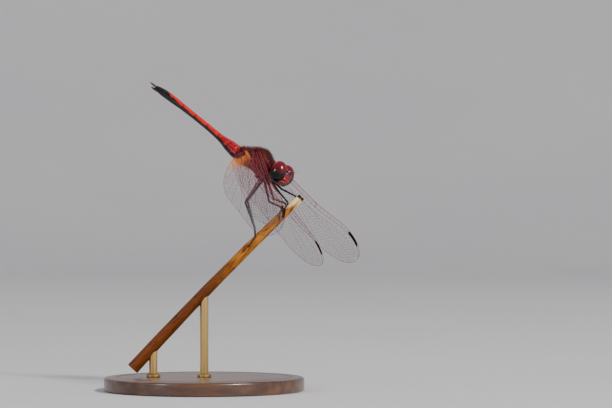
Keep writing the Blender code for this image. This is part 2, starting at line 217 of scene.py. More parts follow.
def spikes(name, roots, sides=3):
    # bent thorns or hairs, each given as (place, direction, length, radius, tip shift, spot on the unwrap)
    made = bmesh.new()
    patches = made.loops.layers.uv.new("OFBake")
    for place, direction, length, radius, bend, spot in roots:
        ahead = direction.normalized()
        side = ahead.orthogonal().normalized()
        up = ahead.cross(side)
        rows = []
        for share, thick in ((-0.08, 1.0), (0.45, 0.72)):
            centre = place + ahead * length * share + bend * max(share, 0.0) ** 2
            rows.append([made.verts.new(centre + (side * math.cos(angle) + up * math.sin(angle))
                                        * radius * thick) for angle in fullTurn(sides)])
        tip = made.verts.new(place + ahead * length + bend)
        for k in range(sides):
            n = (k + 1) % sides
            faces = [made.faces.new((rows[0][k], rows[0][n], rows[1][n], rows[1][k])),
                     made.faces.new((rows[1][k], rows[1][n], tip))]
            for face in faces:
                for corner, loop in enumerate(face.loops):
                    shift = Vector(((k + corner % 2) / sides - 0.5, corner / 4 - 0.4)) * 0.003
                    loop[patches].uv = Vector(spot) + shift
        made.faces.new(rows[0][::-1])
    mesh = bpy.data.meshes.new(name)
    made.to_mesh(mesh)
    made.free()
    piece = bpy.data.objects.new(name, mesh)
    bpy.context.scene.collection.objects.link(piece)
    return piece


def settle(piece, matrix, own=None):
    # keeps each point's place in the piece's own axes for the finishes, then puts the piece into the frame
    kept = piece.data.attributes.new("ownPlace", "FLOAT_VECTOR", "POINT")
    for vertex in piece.data.vertices:
        kept.data[vertex.index].vector = own(vertex.co) if own else vertex.co
    pick(piece)
    piece.matrix_world = matrix
    bpy.ops.object.transform_apply(location=True, rotation=True, scale=True)


def complete(piece, nodes=(), smoothAngle=60):
    pick(piece)
    bpy.ops.object.shade_smooth_by_angle(angle=math.radians(smoothAngle))
    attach(piece, "root")
    if nodes:
        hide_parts(*nodes)


def dress(piece, finish):
    piece.data.materials.append(finishes[finish])
    return piece


def mount(piece, matrix, finish=None, nodes=(), smoothAngle=60, own=None):
    settle(piece, matrix, own)
    if finish:
        dress(piece, finish)
    complete(piece, nodes, smoothAngle)


def curveThrough(points):
    # a smooth function through (place, value) pairs that never overshoots them
    places = [point[0] for point in points]
    values = [point[1] for point in points]
    rises = [(b - a) / (q - p) for a, b, p, q in zip(values, values[1:], places, places[1:])]
    slopes = [rises[0]]
    for low, high in zip(rises, rises[1:]):
        slopes.append(2 * low * high / (low + high) if low * high > 0 else 0.0)
    slopes.append(rises[-1])

    def value(at):
        if at <= places[0]:
            return values[0]
        if at >= places[-1]:
            return values[-1]
        i = max(k for k in range(len(places) - 1) if places[k] <= at)
        span = places[i + 1] - places[i]
        t = (at - places[i]) / span
        return ((2 * t**3 - 3 * t**2 + 1) * values[i] + (t**3 - 2 * t**2 + t) * span * slopes[i]
                + (3 * t**2 - 2 * t**3) * values[i + 1] + (t**3 - t**2) * span * slopes[i + 1])

    return value


def nodePoints(node, matrix):
    places = {tuple(round(part, 7) for part in vertex.co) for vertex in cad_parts[node].data.vertices}
    return [matrix @ Vector(place) for place in places]


def ringCentres(node, sides, matrix):
    # the middles of a plain tube's rings, from its first end to its last, with the mean distance from each
    points = nodePoints(node, matrix)
    middle = sum(points, Vector()) / len(points)
    far = max(points, key=lambda point: (point - middle).length)
    axis = (far - middle).normalized()
    points.sort(key=lambda point: point.dot(axis))
    rings = [points[i:i + sides] for i in range(0, len(points) - sides + 1, sides)]
    centres = [sum(ring, Vector()) / sides for ring in rings]
    radii = [sum((point - centre).length for point in ring) / sides for ring, centre in zip(rings, centres)]
    return centres, radii


def stemMiddle():
    # the stem's middle line and its radii, from the cut tip down
    centres, radii = ringCentres("stem", 14, toStand)
    if centres[0].z < centres[-1].z:
        centres.reverse()
        radii.reverse()
    return centres, radii


class Signal:
    # a value in a finish's node tree, which adds and multiplies like a number
    def __init__(self, socket):
        self.socket = socket

    def node(self, kind, inputs, **settings):
        return addNode(self.socket.id_data, kind, inputs, **settings)

    def reckon(self, operation, other=0.0):
        return Signal(self.node("ShaderNodeMath", {0: self, 1: other}, operation=operation).outputs[0])

    def __add__(self, other):
        return self.reckon("ADD", other)

    def __sub__(self, other):
        return self.reckon("SUBTRACT", other)

    def __mul__(self, other):
        return self.reckon("MULTIPLY", other)

    def orMore(self, other):
        return self.reckon("MAXIMUM", other)

    def near(self, line, wide, narrow):
        # 1 along a line, fading out on both sides
        return (self - line).reckon("ABSOLUTE").ramp(wide, narrow)

    def ramp(self, low, high, start=0.0, end=1.0):
        inputs = {"Value": self, "From Min": low, "From Max": high, "To Min": start, "To Max": end}
        return Signal(self.node("ShaderNodeMapRange", inputs, interpolation_type="SMOOTHSTEP").outputs[0])

    def through(self, stops):
        # a row of (place, grey) stops as one value
        made = self.node("ShaderNodeValToRGB", {"Fac": self})
        made.color_ramp.interpolation = "EASE"
        while len(made.color_ramp.elements) < len(stops):
            made.color_ramp.elements.new(0.5)
        for element, (at, grey) in zip(made.color_ramp.elements, stops):
            element.position = at
            element.color = (grey, grey, grey, 1.0)
        return Signal(made.outputs["Color"])

    def parts(self):
        return [Signal(part) for part in self.node("ShaderNodeSeparateXYZ", {"Vector": self}).outputs]

    def grain(self, scale, detail=3.0, stretch=None):
        # a noise over this place
        inputs = {"Vector": self, "Scale": scale, "Detail": detail}
        if stretch:
            made = self.node("ShaderNodeMapping", {"Vector": self, "Scale": stretch})
            inputs["Vector"] = Signal(made.outputs[0])
        return Signal(self.node("ShaderNodeTexNoise", inputs).outputs["Fac"])

    def wobble(self, scale, detail, reach):
        return (self.grain(scale, detail) - 0.5) * reach

    def mix(self, first, second):
        # this share of the second colour over the first
        inputs = {0: self}
        for socket, colour in ((6, first), (7, second)):
            inputs[socket] = colour if isinstance(colour, Signal) else (*colour, 1.0)
        return Signal(self.node("ShaderNodeMix", inputs, data_type="RGBA").outputs[2])


def fillInputs(made, inputs):
    for socket, value in inputs.items():
        if isinstance(value, Signal):
            made.id_data.links.new(value.socket, made.inputs[socket])
        else:
            made.inputs[socket].default_value = value


def addNode(tree, kind, inputs, **settings):
    made = tree.nodes.new(kind)
    for name, value in settings.items():
        setattr(made, name, value)
    fillInputs(made, inputs)
    return made


def newFinish(name, roughness, specular=0.5, clear=0.0, clearRoughness=0.03, alpha=1.0, metallic=0.0):
    # a new material, each point's place in the piece's own axes, and its place in the frame
    material = bpy.data.materials.new(name)
    material.use_nodes = True
    fillInputs(material.node_tree.nodes["Principled BSDF"],
               {"Roughness": roughness, "Specular IOR Level": specular, "Coat Weight": clear,
                "Coat Roughness": clearRoughness, "Alpha": alpha, "Metallic": metallic})
    place = addNode(material.node_tree, "ShaderNodeAttribute", {}, attribute_name="ownPlace")
    solid = addNode(material.node_tree, "ShaderNodeTexCoord", {})
    return material, Signal(place.outputs["Vector"]), Signal(solid.outputs["Object"])


def painted(material, colour, height, strength, distance):
    # the material with its colour and its bump
    bump = addNode(material.node_tree, "ShaderNodeBump",
                   {"Height": height, "Strength": strength, "Distance": distance})
    fillInputs(material.node_tree.nodes["Principled BSDF"],
               {"Base Color": colour, "Normal": Signal(bump.outputs[0])})
    return material


abdomenColours = {"top": (0.5, 0.002, 0.004), "side": (0.58, 0.008, 0.001), "waist": (0.42, 0.006, 0.014),
                  "black": (0.004, 0.003, 0.004), "joint": (0.03, 0.002, 0.002)}
# Where raised lines lie: hoops along the waist, and the lines that cross them from the back to the belly.
waistLines = {"hoops": (1.3, 1.56, 1.82, 2.3, 2.62), "crossing": (0.3, 0.46)}


def makeAbdomenFinish():
    material, place, solid = newFinish("abdomen shell", 0.34, 0.24, 0.06, 0.15)
    along, around, _ = place.parts()  # segments behind the waist; 0 on top to 1 below
    share = along.reckon("FRACT")
    stops = [(0.0, 0.62), (0.2, 0.56), (0.33, 0.48), (0.6, 0.44), (0.7, 0.36), (0.78, 0.14), (0.84, 0.04),
             (1.0, 0.0)]
    edge = along.reckon("DIVIDE", 10.0).through(stops)
    edge = edge + ((share - 0.35) * -0.08 + solid.wobble(2600.0, 3.0, 0.12))
    ridge = around.ramp(0.07, 0.03) * along.ramp(7.0, 7.5)
    black = (around - edge).ramp(-0.03, 0.035).orMore(ridge)
    red = around.ramp(0.1, 0.38).mix(abdomenColours["top"], abdomenColours["side"])
    red = along.ramp(3.2, 1.8).mix(red, abdomenColours["waist"])
    red = (solid.grain(900.0, 5.0).ramp(0.4, 0.75) * 0.35).mix(red, abdomenColours["joint"])
    joint = share.ramp(0.05, 0.015).orMore(share.ramp(0.955, 0.985))
    bent = solid.wobble(700.0, 2.0, 0.3)
    for line in waistLines["hoops"]:
        joint = joint.orMore((along + bent).near(line, 0.06, 0.03))
    for line in waistLines["crossing"]:
        joint = joint.orMore((around + bent * 0.4).near(line, 0.04, 0.018) * along.ramp(3.1, 2.7))
    joint = joint * around.ramp(0.1, 0.3, 0.3, 0.85) * solid.grain(1400.0).ramp(0.36, 0.52, 0.6, 1.0)
    colour = black.mix(joint.mix(red, abdomenColours["joint"]), abdomenColours["black"])
    return painted(material, colour, solid.grain(9000.0, 4.0), 0.35, 0.00003)


thoraxColours = {"maroon": (0.085, 0.002, 0.003), "orange": (0.29, 0.009, 0.002),
                 "black": (0.004, 0.002, 0.003), "back": (0.04, 0.006, 0.007)}
thoraxSlope = (0.66, 0.75)  # the stripes and grooves lie square to this way forward and up


def makeThoraxFinish():
    material, place, solid = newFinish("thorax shell", 0.55, 0.14)
    ahead, left, up = place.parts()
    slopeX, slopeZ = thoraxSlope
    slant = ahead * slopeX + up * slopeZ + solid.grain(500.0, 4.0) * 1.2 + solid.wobble(1500.0, 4.0, 0.5)
    stops = [(0.0, 1.0), (0.18, 0.15), (0.26, 1.0), (0.35, 0.1), (0.44, 1.0), (0.52, 0.12), (0.61, 1.0),
             (0.68, 0.1), (0.76, 1.0), (0.81, 0.15), (0.85, 0.8), (0.89, 0.15), (0.93, 0.75), (1.0, 0.2)]
    stripe = (slant + 3.6).reckon("DIVIDE", 8.0).through(stops)
    down = ahead * slopeZ - up * slopeX
    lanes = Signal(place.node("ShaderNodeCombineXYZ", {0: slant, 1: left, 2: down}).outputs[0])
    streaks = lanes.grain(1.0, 4.0, (3.2, 0.5, 0.55))
    colour = streaks.ramp(0.46, 0.7).mix(thoraxColours["maroon"], thoraxColours["orange"])
    colour = (stripe + (streaks - 0.5) * -1.1).ramp(0.34, 0.6).mix(colour, thoraxColours["black"])
    colour = up.ramp(1.5, 2.5).mix(colour, thoraxColours["back"])
    colour = up.ramp(-1.3, -2.1).mix(colour, thoraxColours["black"])
    return painted(material, colour, solid.grain(5200.0, 5.0), 0.5, 0.00005)


eyeColours = {"above": (0.13, 0.001, 0.009), "below": (0.003, 0.001, 0.0015)}


def makeEyeFinish():
    material, place, solid = newFinish("compound eye", 0.22, 0.3, 0.16, 0.06)
    share = (place.parts()[2] + solid.wobble(900.0, 3.0, 1.5)).ramp(-0.55, 1.3)
    cells = solid.node("ShaderNodeTexVoronoi", {"Vector": solid, "Scale": 19000.0}).outputs["Distance"]
    facets = Signal(cells) * -1.0 + 1.0
    return painted(material, share.mix(eyeColours["below"], eyeColours["above"]), facets, 0.3, 0.00001)


faceColours = {"red": (0.25, 0.002, 0.005), "violet": (0.055, 0.003, 0.025), "lip": (0.09, 0.006, 0.004),
               "dark": (0.012, 0.003, 0.003), "back": (0.03, 0.003, 0.003)}


def makeFaceFinish():
    material, place, solid = newFinish("face shell", 0.25, 0.5, 0.3, 0.1)
    ahead, _, up = place.parts()
    cloud = solid.wobble(1500.0, 3.0, 0.5)
    height = up + cloud
    colour = height.ramp(-0.35, 0.2).mix(faceColours["red"], faceColours["violet"])
    colour = height.ramp(-1.35, -1.65).mix(colour, faceColours["lip"])
    colour = (ahead + cloud).ramp(0.35, -0.1).mix(colour, faceColours["back"])
    colour = height.ramp(-2.0, -2.4).mix(colour, faceColours["dark"])
    return painted(material, colour, solid.grain(9000.0), 0.4, 0.00002)


legColours = ((0.003, 0.005, 0.011), (0.009, 0.011, 0.026))
veinColours = {"base": (0.24, 0.005, 0.01), "outer": (0.045, 0.009, 0.012)}


def makeVeinFinish(name, redReach):
    # red from the root out to redReach and along the front edge, then brown
    material, place, solid = newFinish(name, 0.4, 0.25)
    out, back, _ = place.parts()
    share = (out + back * 1.6 + solid.grain(400.0) * 4.0).ramp(redReach, redReach + 9.0)
    colour = share.mix(veinColours["base"], veinColours["outer"])
    return painted(material, colour, solid.grain(8000.0), 0.3, 0.00002)


def makeFilmFinish(name, colour, alpha):
    # clear wing film with a faint wrinkle that breaks up its shine
    material, _, solid = newFinish(name, 0.2, 0.4, alpha=alpha)
    paler = tuple(min(part * 1.25, 1.0) for part in colour)
    tint = solid.grain(320.0, 2.0).ramp(0.3, 0.7)
    return painted(material, tint.mix(colour, paler), solid.grain(700.0, 2.0), 0.25, 0.00006)


def makePlainFinish(name, first, second, scale, roughness, bump=0.3, stretch=None, **looks):
    # two shades clouded into each other, with a fine grain
    material, _, solid = newFinish(name, roughness, **looks)
    cloud = solid.grain(scale, 4.0, stretch).ramp(0.35, 0.7)
    return painted(material, cloud.mix(first, second), solid.grain(scale * 6.0, 4.0, stretch), bump, 0.00004)


def makeLegFinish():
    material, _, solid = newFinish("leg shell", 0.3, 0.3, 0.1, 0.2)
    cloud = solid.grain(1600.0, 4.0).ramp(0.35, 0.8)
    return painted(material, cloud.mix(*legColours), solid.grain(9000.0, 4.0), 0.4, 0.00003)


stemColours = {"tip": (0.9, 0.7, 0.34), "gold": (0.42, 0.15, 0.01), "foot": (0.14, 0.033, 0.002),
               "streak": (0.05, 0.01, 0.001), "fleck": (0.012, 0.003, 0.001), "cut": (0.035, 0.006, 0.003)}


def makeStemFinish():
    material, place, _ = newFinish("dry stem", 0.55, 0.2)
    along = place.parts()[0]  # down from the tip; the other two parts go round the stem
    fibres = place.grain(1.0, 5.0, (0.35, 5.0, 5.0))
    shifted = along + (place.grain(1.0, 4.0, (0.22, 0.9, 0.9)) - 0.5) * 9.0
    colour = shifted.ramp(1.8, 3.8).mix(stemColours["tip"], stemColours["gold"])
    colour = shifted.ramp(11.0, 27.0).mix(colour, stemColours["foot"])
    past = along.ramp(1.5, 4.0, 0.3, 1.0)
    colour = (fibres.ramp(0.45, 0.7) * past).mix(colour, stemColours["streak"])
    blotch = place.grain(1.0, 3.0, (0.45, 0.9, 0.9)).ramp(0.56, 0.7)
    colour = (blotch * past).mix(colour, stemColours["foot"])
    colour = place.grain(1.0, 3.0, (0.9, 2.4, 2.4)).ramp(0.62, 0.7).mix(colour, stemColours["fleck"])
    colour = (along + fibres * 0.7).ramp(1.15, 0.8).mix(colour, stemColours["cut"])
    return painted(material, colour, fibres, 0.6, 0.00008)


finishes = {
    "abdomen": makeAbdomenFinish(),
    "thorax": makeThoraxFinish(),
    "eye": makeEyeFinish(),
    "face": makeFaceFinish(),
    "leg": makeLegFinish(),
    "mainVein": makeVeinFinish("main veins", 20.0),
    "netVein": makeVeinFinish("net veins", 9.0),
    "film": makeFilmFinish("wing film", (0.2, 0.15, 0.19), 0.05),
    "amberFilm": makeFilmFinish("amber film", (0.76, 0.25, 0.001), 0.66),
    "paleAmberFilm": makeFilmFinish("pale amber film", (0.7, 0.24, 0.01), 0.28),
    "stigma": makePlainFinish("wing spot", (0.006, 0.003, 0.003), (0.025, 0.008, 0.005), 1500.0, 0.6, 0.1,
                              specular=0.05),
    "tail": makePlainFinish("tail shell", (0.03, 0.01, 0.01), (0.12, 0.035, 0.02), 2500.0, 0.35),
    "hair": makePlainFinish("hair", (0.06, 0.022, 0.02), (0.09, 0.035, 0.03), 900.0, 0.6, 0.0,
                            specular=0.15),
    "ocellus": makePlainFinish("small eye", (0.5, 0.3, 0.16), (0.65, 0.45, 0.3), 2000.0, 0.1, 0.0),
    "paleStripe": makePlainFinish("pale leg stripe", (0.5, 0.17, 0.12), (0.4, 0.09, 0.07), 900.0, 0.4, 0.1),
    "stem": makeStemFinish(),
    "pith": makePlainFinish("stem pith", (0.12, 0.035, 0.012), (0.03, 0.01, 0.005), 2500.0, 0.8),
    "wood": makePlainFinish("dark wood", (0.045, 0.017, 0.008), (0.11, 0.045, 0.018), 60.0, 0.35, 0.2,
                            (1.0, 9.0, 9.0), clear=0.4, clearRoughness=0.15),
    "brass": makePlainFinish("brass", (0.62, 0.43, 0.16), (0.5, 0.33, 0.12), 900.0, 0.28, 0.05,
                             (1.0, 1.0, 0.05), metallic=1.0),
    "floor": makePlainFinish("studio floor", (0.52, 0.51, 0.53), (0.54, 0.53, 0.545), 9.0, 0.9, 0.0),
}
print("finishes ready")

abdomen = {"sides": 40, "forward": 1.1, "rim": 0.955, "flare": 0.018, "ridge": 0.05, "ridgeWidth": 0.16,
           "flankAt": 1.75, "flankWidth": 0.14, "belly": 0.14, "waist": (0.16, 0.18), "end": 0.8,
           "heights": (2.85, 2.42, 1.48, 1.28, 1.26, 1.34, 1.58, 1.6, 1.32, 1.0),
           "widths": (2.7, 2.4, 1.6, 1.48, 1.52, 1.66, 1.88, 1.82, 1.44, 1.05)}


def abdomenPath():
    # the middle of the abdomen at its waist, at the middle of each segment, and at its end
    clouds = {number: nodePoints(f"abdomen_{number}", toBody) for number in range(2, 11)}
    middles = {number: sum(cloud, Vector()) / len(cloud) for number, cloud in clouds.items()}
    marks = [(number - 0.5, middle) for number, middle in middles.items()]
    for number, other, station in ((2, 3, 1.0), (10, 9, 10.0)):
        away = (middles[number] - middles[other]).normalized()
        reach = max((point - middles[number]).dot(away) for point in clouds[number])
        marks.append((station, middles[number] + away * reach))
    return sorted(marks, key=lambda mark: mark[0])


def abdomenRings():
    # the middle, half width, half height and station of each ring, from inside the thorax to the tail
    marks = abdomenPath()
    centres = [middle for station, middle in marks]
    centre = [curveThrough([(station, middle[k]) for station, middle in marks]) for k in range(3)]
    widths = [size / 2 for size in abdomen["widths"]]
    heights = [size / 2 for size in abdomen["heights"]]
    width = curveThrough(list(enumerate(widths, 1)))
    height = curveThrough(list(enumerate(heights, 1)))
    ahead = (centres[0] - centres[1]).normalized()
    narrower, flatter = abdomen["waist"]
    rings = []
    for i in range(4):
        share = 1 - i / 4
        rings.append((centres[0] + ahead * abdomen["forward"] * share, widths[0] * (1 - narrower * share),
                      heights[0] * (1 - flatter * share), 1.0 - share * 0.6))
    rim, flare = abdomen["rim"], abdomen["flare"]
    profile = curveThrough([(0.0, rim), (0.02, 0.985), (0.07, 1.0), (0.5, 1.0), (0.9, 1.0 + flare / 2),
                            (0.965, 1.0 + flare), (0.985, 1.0), (1.0, rim)])
    for number in range(1, 10):
        for share in (0.0, 0.02, 0.07, 0.2, 0.35, 0.5, 0.65, 0.8, 0.9, 0.965, 0.985):
            at = number + share
            swell = profile(share)
            rings.append((Vector([part(at) for part in centre]), width(at) * swell, height(at) * swell, at))
    last, end = 10.0, abdomen["end"]
    return rings + [(Vector([part(last) for part in centre]), width(last) * end, height(last) * end, last)]


def buildAbdomen():
    rings = abdomenRings()
    shapes, lookup = [], {}
    for i, (middle, halfWidth, halfHeight, at) in enumerate(rings):
        back = (rings[min(i + 1, len(rings) - 1)][0] - rings[max(i - 1, 0)][0]).normalized()
        up = back.cross(Vector((0, -1, 0))).normalized()
        if up.z < 0:
            up = -up
        ring = []
        for angle in fullTurn(abdomen["sides"]):  # 0 is the middle of the back
            bend = min(angle, 2 * math.pi - angle)
            flank = 0.7 * hump(bend - abdomen["flankAt"], abdomen["flankWidth"])
            keel = abdomen["ridge"] * (hump(bend, abdomen["ridgeWidth"]) + flank)
            belly = 1.0 - abdomen["belly"] * hump(bend - math.pi, 0.9)
            reach = (1.0 + keel / max(halfWidth, 0.4)) * belly
            ring.append(middle + Vector((0, math.sin(angle) * halfWidth * reach, 0))
                        + up * (math.cos(angle) * halfHeight * reach))
            lookup[tuple(round(c, 4) for c in ring[-1])] = (at, bend / math.pi)
        shapes.append(ring)
    mount(rollGrid("abdomen", shapes), bodyMatrix, "abdomen",
          [f"abdomen_{number}" for number in range(1, 11)],
          own=lambda co: (*lookup.get(tuple(round(c, 4) for c in co), (10.0, 1.0)), 0.0))


tail = {"hook": (0.13, 0.17, 0.2, 0.21, 0.17, 0.1, 0.03), "plate": (0.3, 0.29, 0.25, 0.18, 0.12, 0.05),
        "flat": 0.6}


def tailCentres(node):
    return sorted(ringCentres(node, 8, toBody)[0], key=lambda centre: -centre.x)


def buildTail():
    # two upper hooks and the short plate under them
    hooks = ["cercus_left", "cercus_right"]
    parts = []
    for node in hooks:
        centres = tailCentres(node)
        path = [centres[0] + (centres[0] - centres[1]) * 1.1, *centres]
        steps = [*between(*path[:2], 0.5), path[1], *between(*path[1:3], 0.5), path[2],
                 *between(*path[2:4], 0.5, 0.85), path[3]]
        parts.append(roundTube(node, steps, tail["hook"], 14))
    centres = tailCentres("epiproct")
    path = between(centres[0], centres[-1], -0.6, 0.1, 0.5, 0.8, 0.95, 1.0)
    parts.append(roundTube("plate", path, tail["plate"], 14, flat=tail["flat"]))
    mount(joinAll("tailHooks", parts), bodyMatrix, "tail", hooks + ["epiproct"])


buildAbdomen()
buildTail()
print("abdomen ready")

thorax = {"sides": 72, "rings": 80, "voxel": 0.085, "smoothing": 6, "grooveDepth": 0.09, "grooveWidth": 0.16,
          "grooves": (-1.75, -0.55, 0.85, 2.0), "keel": 0.06, "dimple": 0.16,
          "seats": (((-0.1, -0.35, -0.3), (1.0, 0.42, 0.36)), ((0.75, -0.5, -0.1), (0.45, 0.5, 0.28))),
          "hip": (0.62, 0.5, 0.62), "neck": ((4.3, 0, -0.1), (4.8, 0, -0.15), (5.9, 0, -0.3)),
          "neckRadii": (0.5, 0.42, 0.5)}
coxae = {"front": (4.3, 0.8, -1.75), "middle": (3.6, 0.9, -2.2), "hind": (2.6, 0.95, -2.4)}
wingRoots = {"fore": (0.8, 1.5, 2.5), "hind": (-2.2, 1.5, 1.8)}


def crossSections(node):
    # x, top, bottom and half width of a piece whose rings stand square to the body
    rows = {}
    for point in nodePoints(node, toBody):
        rows.setdefault(round(point.x, 2), []).append(point)
    return [(x, max(p.z for p in ring), min(p.z for p in ring), max(p.y for p in ring))
            for x, ring in sorted(rows.items()) if len(ring) > 8]


def bodyShell(name, node, rings, sides):
    marks = crossSections(node)
    top, bottom, width = [curveThrough([(mark[0], mark[k]) for mark in marks]) for k in (1, 2, 3)]
    shapes = []
    first, last = marks[0][0], marks[-1][0]
    for i in range(rings):
        x = first + (last - first) * i / (rings - 1)
        middle = (top(x) + bottom(x)) / 2
        half = (top(x) - bottom(x)) / 2
        shapes.append([Vector((x, squarer(math.sin(angle), 0.9) * width(x),
                               middle + squarer(math.cos(angle), 0.9) * half)) for angle in fullTurn(sides)])
    return rollGrid(name, shapes)


def buildThorax():
    parts = [bodyShell("thorax", "thorax", thorax["rings"], thorax["sides"]),
             bodyShell("collar", "prothorax", 20, 48)]
    for side in (1, -1):
        for place in coxae.values():
            parts.append(roundBlob("hip", onSide(place, side), thorax["hip"], 16, 12))
        for place in wingRoots.values():
            for shift, axes in thorax["seats"]:
                parts.append(roundBlob("wingSeat", onSide(place, side) + onSide(shift, side), axes, 16, 12))
    parts.append(roundTube("neck", [Vector(spot) for spot in thorax["neck"]], thorax["neckRadii"], 20))
    piece = fuse("thorax", parts, thorax["voxel"], thorax["smoothing"])
    slopeX, slopeZ = thoraxSlope

    def relief(place):
        # grooves on the sides, a keel along the back and a dimple between the wings
        slant = slopeX * place.x + slopeZ * place.z
        flank = clamp((abs(place.y) - 0.7) / 0.6) * (place.x < 3.7)
        groove = sum(hump(slant - middle, thorax["grooveWidth"]) for middle in thorax["grooves"])
        keel = hump(place.y, 0.14) * (place.z > 1.0 and place.x > 0.9)
        dimple = hump(place.y, 0.5) * hump(place.x - wingRoots["fore"][0], 0.35) * (place.z > 1.2)
        return thorax["keel"] * keel - thorax["grooveDepth"] * groove * flank - thorax["dimple"] * dimple

    pushOut(piece, relief)
    mount(piece, bodyMatrix, "thorax", ["thorax", "prothorax", "neck"])
    return piece


thoraxPiece = buildThorax()
print("thorax ready", len(thoraxPiece.data.polygons))

coat = {"hairs": 6800, "length": (0.22, 0.55), "radius": 0.0065, "lean": 0.8, "leanTo": (-0.35, 0, 0.25),
        "bendTo": (-0.3, 0, -0.05), "front": 4.9, "rear": -3.3, "lowest": -0.75}


def buildCoat():
    # fine hair over the back and sides of the thorax, rooted on its shell
    chance = random.Random(7)
    faces = [(face.center.copy(), face.normal.copy()) for face in thoraxPiece.data.polygons]
    turn = toBody.to_3x3()
    roots = []
    while len(roots) < coat["hairs"]:
        centre, normal = chance.choice(faces)
        place = toBody @ centre
        out = (turn @ normal).normalized()
        density = 0.35 + 0.65 * clamp((place.z + 0.5) / 2.0)
        covered = coat["rear"] <= place.x <= coat["front"] and out.z >= coat["lowest"]
        if not covered or chance.random() > density:
            continue
        spot = (math.atan2(place.y, place.z) / (2 * math.pi) + 0.5, (place.x + 4.0) / 9.0)
        length = chance.uniform(*coat["length"]) * (1.15 if place.z > 1.0 else 0.75)
        swirl = Vector([chance.uniform(-0.3, 0.3) for _ in range(3)])
        direction = out + Vector(coat["leanTo"]) * coat["lean"] + swirl
        bend = Vector(coat["bendTo"]) * length * chance.uniform(0.3, 1.0)
        spot = [clamp(part, 0.003, 0.997) for part in spot]
        roots.append((place, direction, length, coat["radius"], bend, spot))
    mount(spikes("thoraxHair", roots), bodyMatrix, "hair")
    print("hairs", len(roots))


buildCoat()

head = {"centre": (6.65, 0.0, -0.5), "eye": (-0.05, 1.15, 0.08), "eyeSize": (1.87, 1.64, 2.12),
        "eyeRear": 0.86, "seam": 0.02, "turn": -12.0, "voxel": 0.05, "smoothing": 5,
        "creases": (-0.58, -1.04, -1.24), "creaseDepth": 0.045, "forehead": (1.27, 0, -0.1),
        "foreheadSize": (0.94, 1.16, 0.9), "back": (-0.7, 0, -0.05), "backSize": (0.95, 1.92, 1.68),
        "hollow": (-1.9, 0, -0.1), "hollowDepth": 0.38, "wedge": (-1.12, 0, 1.05),
        "wedgeSize": (0.42, 0.34, 0.42)}
# Crown, lips, throat and jaws: where each stands, its half sizes, segments, rings and squareness.
headPlates = [((1.42, 0, 0.8), (0.36, 0.42, 0.36), 28, 20, 0.85),
              ((1.26, 0, -0.86), (0.83, 1.04, 0.36), 40, 28, 0.6),
              ((1.2, 0, -1.16), (0.75, 0.66, 0.2), 32, 20, 0.6),
              ((1.08, 0, -1.5), (0.76, 0.86, 0.33), 36, 24, 0.62),
              ((0.9, 0, -1.92), (0.5, 0.26, 0.24), 20, 14), ((0.1, 0, -1.4), (0.8, 0.95, 0.6), 28, 20)]
for flank in (1, -1):
    headPlates += [((0.72, flank * 0.88, -1.28), (0.6, 0.38, 0.52), 24, 18, 0.8),
                   ((0.62, flank * 0.47, -1.84), (0.84, 0.52, 0.36), 28, 20, 0.85)]
headPlace = Matrix.Translation(Vector(head["centre"]))
headTurn = Matrix.Rotation(math.radians(head["turn"]), 4, "Z")
headMatrix = bodyMatrix @ headPlace @ headTurn @ headPlace.inverted()


def atHead(*offset):
    return Vector(head["centre"]) + Vector(offset)


def fromHead(spot):
    return spot - Vector(head["centre"])


def buildEyes():
    for side, word in sideWords:
        centre = atHead(*onSide(head["eye"], side))
        piece = roundBlob("eye" + word.capitalize(), centre, head["eyeSize"], 72, 56)
        for vertex in piece.data.vertices:
            if vertex.co.x < centre.x:
                vertex.co.x = centre.x + (vertex.co.x - centre.x) * head["eyeRear"]
        editAll(piece)
        bpy.ops.mesh.bisect(plane_co=(0, side * head["seam"], 0), plane_no=(0, side, 0), use_fill=True,
                            clear_inner=True)
        bpy.ops.object.mode_set(mode="OBJECT")
        cleanEdges(piece)
        mount(piece, headMatrix, "eye", ["eye_" + word], 50, fromHead)


def buildHeadShell():
    # forehead, plates and the back of the head, fused into one shell
    middle = atHead(*head["forehead"])
    forehead = roundBlob("forehead", middle, head["foreheadSize"], 48, 36, 0.8)
    for vertex in forehead.data.vertices:
        spread = vertex.co - middle
        dent = 0.12 * hump(spread.y, 0.2) * clamp(spread.x + spread.z)
        vertex.co = middle + spread * (1.0 - dent)
    parts = [forehead] + [roundBlob("plate", atHead(*spot), *sizes) for spot, *sizes in headPlates]
    back = roundBlob("headBack", atHead(*head["back"]), head["backSize"], 48, 36)
    hollow = atHead(*head["hollow"])
    for vertex in back.data.vertices:
        vertex.co.x += head["hollowDepth"] * hump((vertex.co - hollow).length, 1.0)
    parts += [back, roundBlob("crownWedge", atHead(*head["wedge"]), head["wedgeSize"], 24, 16)]
    piece = fuse("headShell", parts, head["voxel"], head["smoothing"])

    def relief(place):
        # creases between the plates, and fine pits
        spot = fromHead(place)
        crease = sum(hump(spot.z - level, 0.05) for level in head["creases"]) * (spot.x > 0.6)
        return noise.noise(spot * 9.0) * 0.012 * (spot.x > 0.4) - head["creaseDepth"] * crease

    pushOut(piece, relief)
    mount(piece, headMatrix, "face", ["face", "mouth", "head_capsule"], own=fromHead)


feelers = {"root": (1.62, 0.5, 0.78), "aim": (0.75, 0.38, 0.55), "bristle": (0.05, 0.012), "from": 0.34,
           "length": 1.75, "cups": ((-0.12, 0.16, 0.12), (0.13, 0.38, 0.09)), "droop": (0, 0, -0.22)}


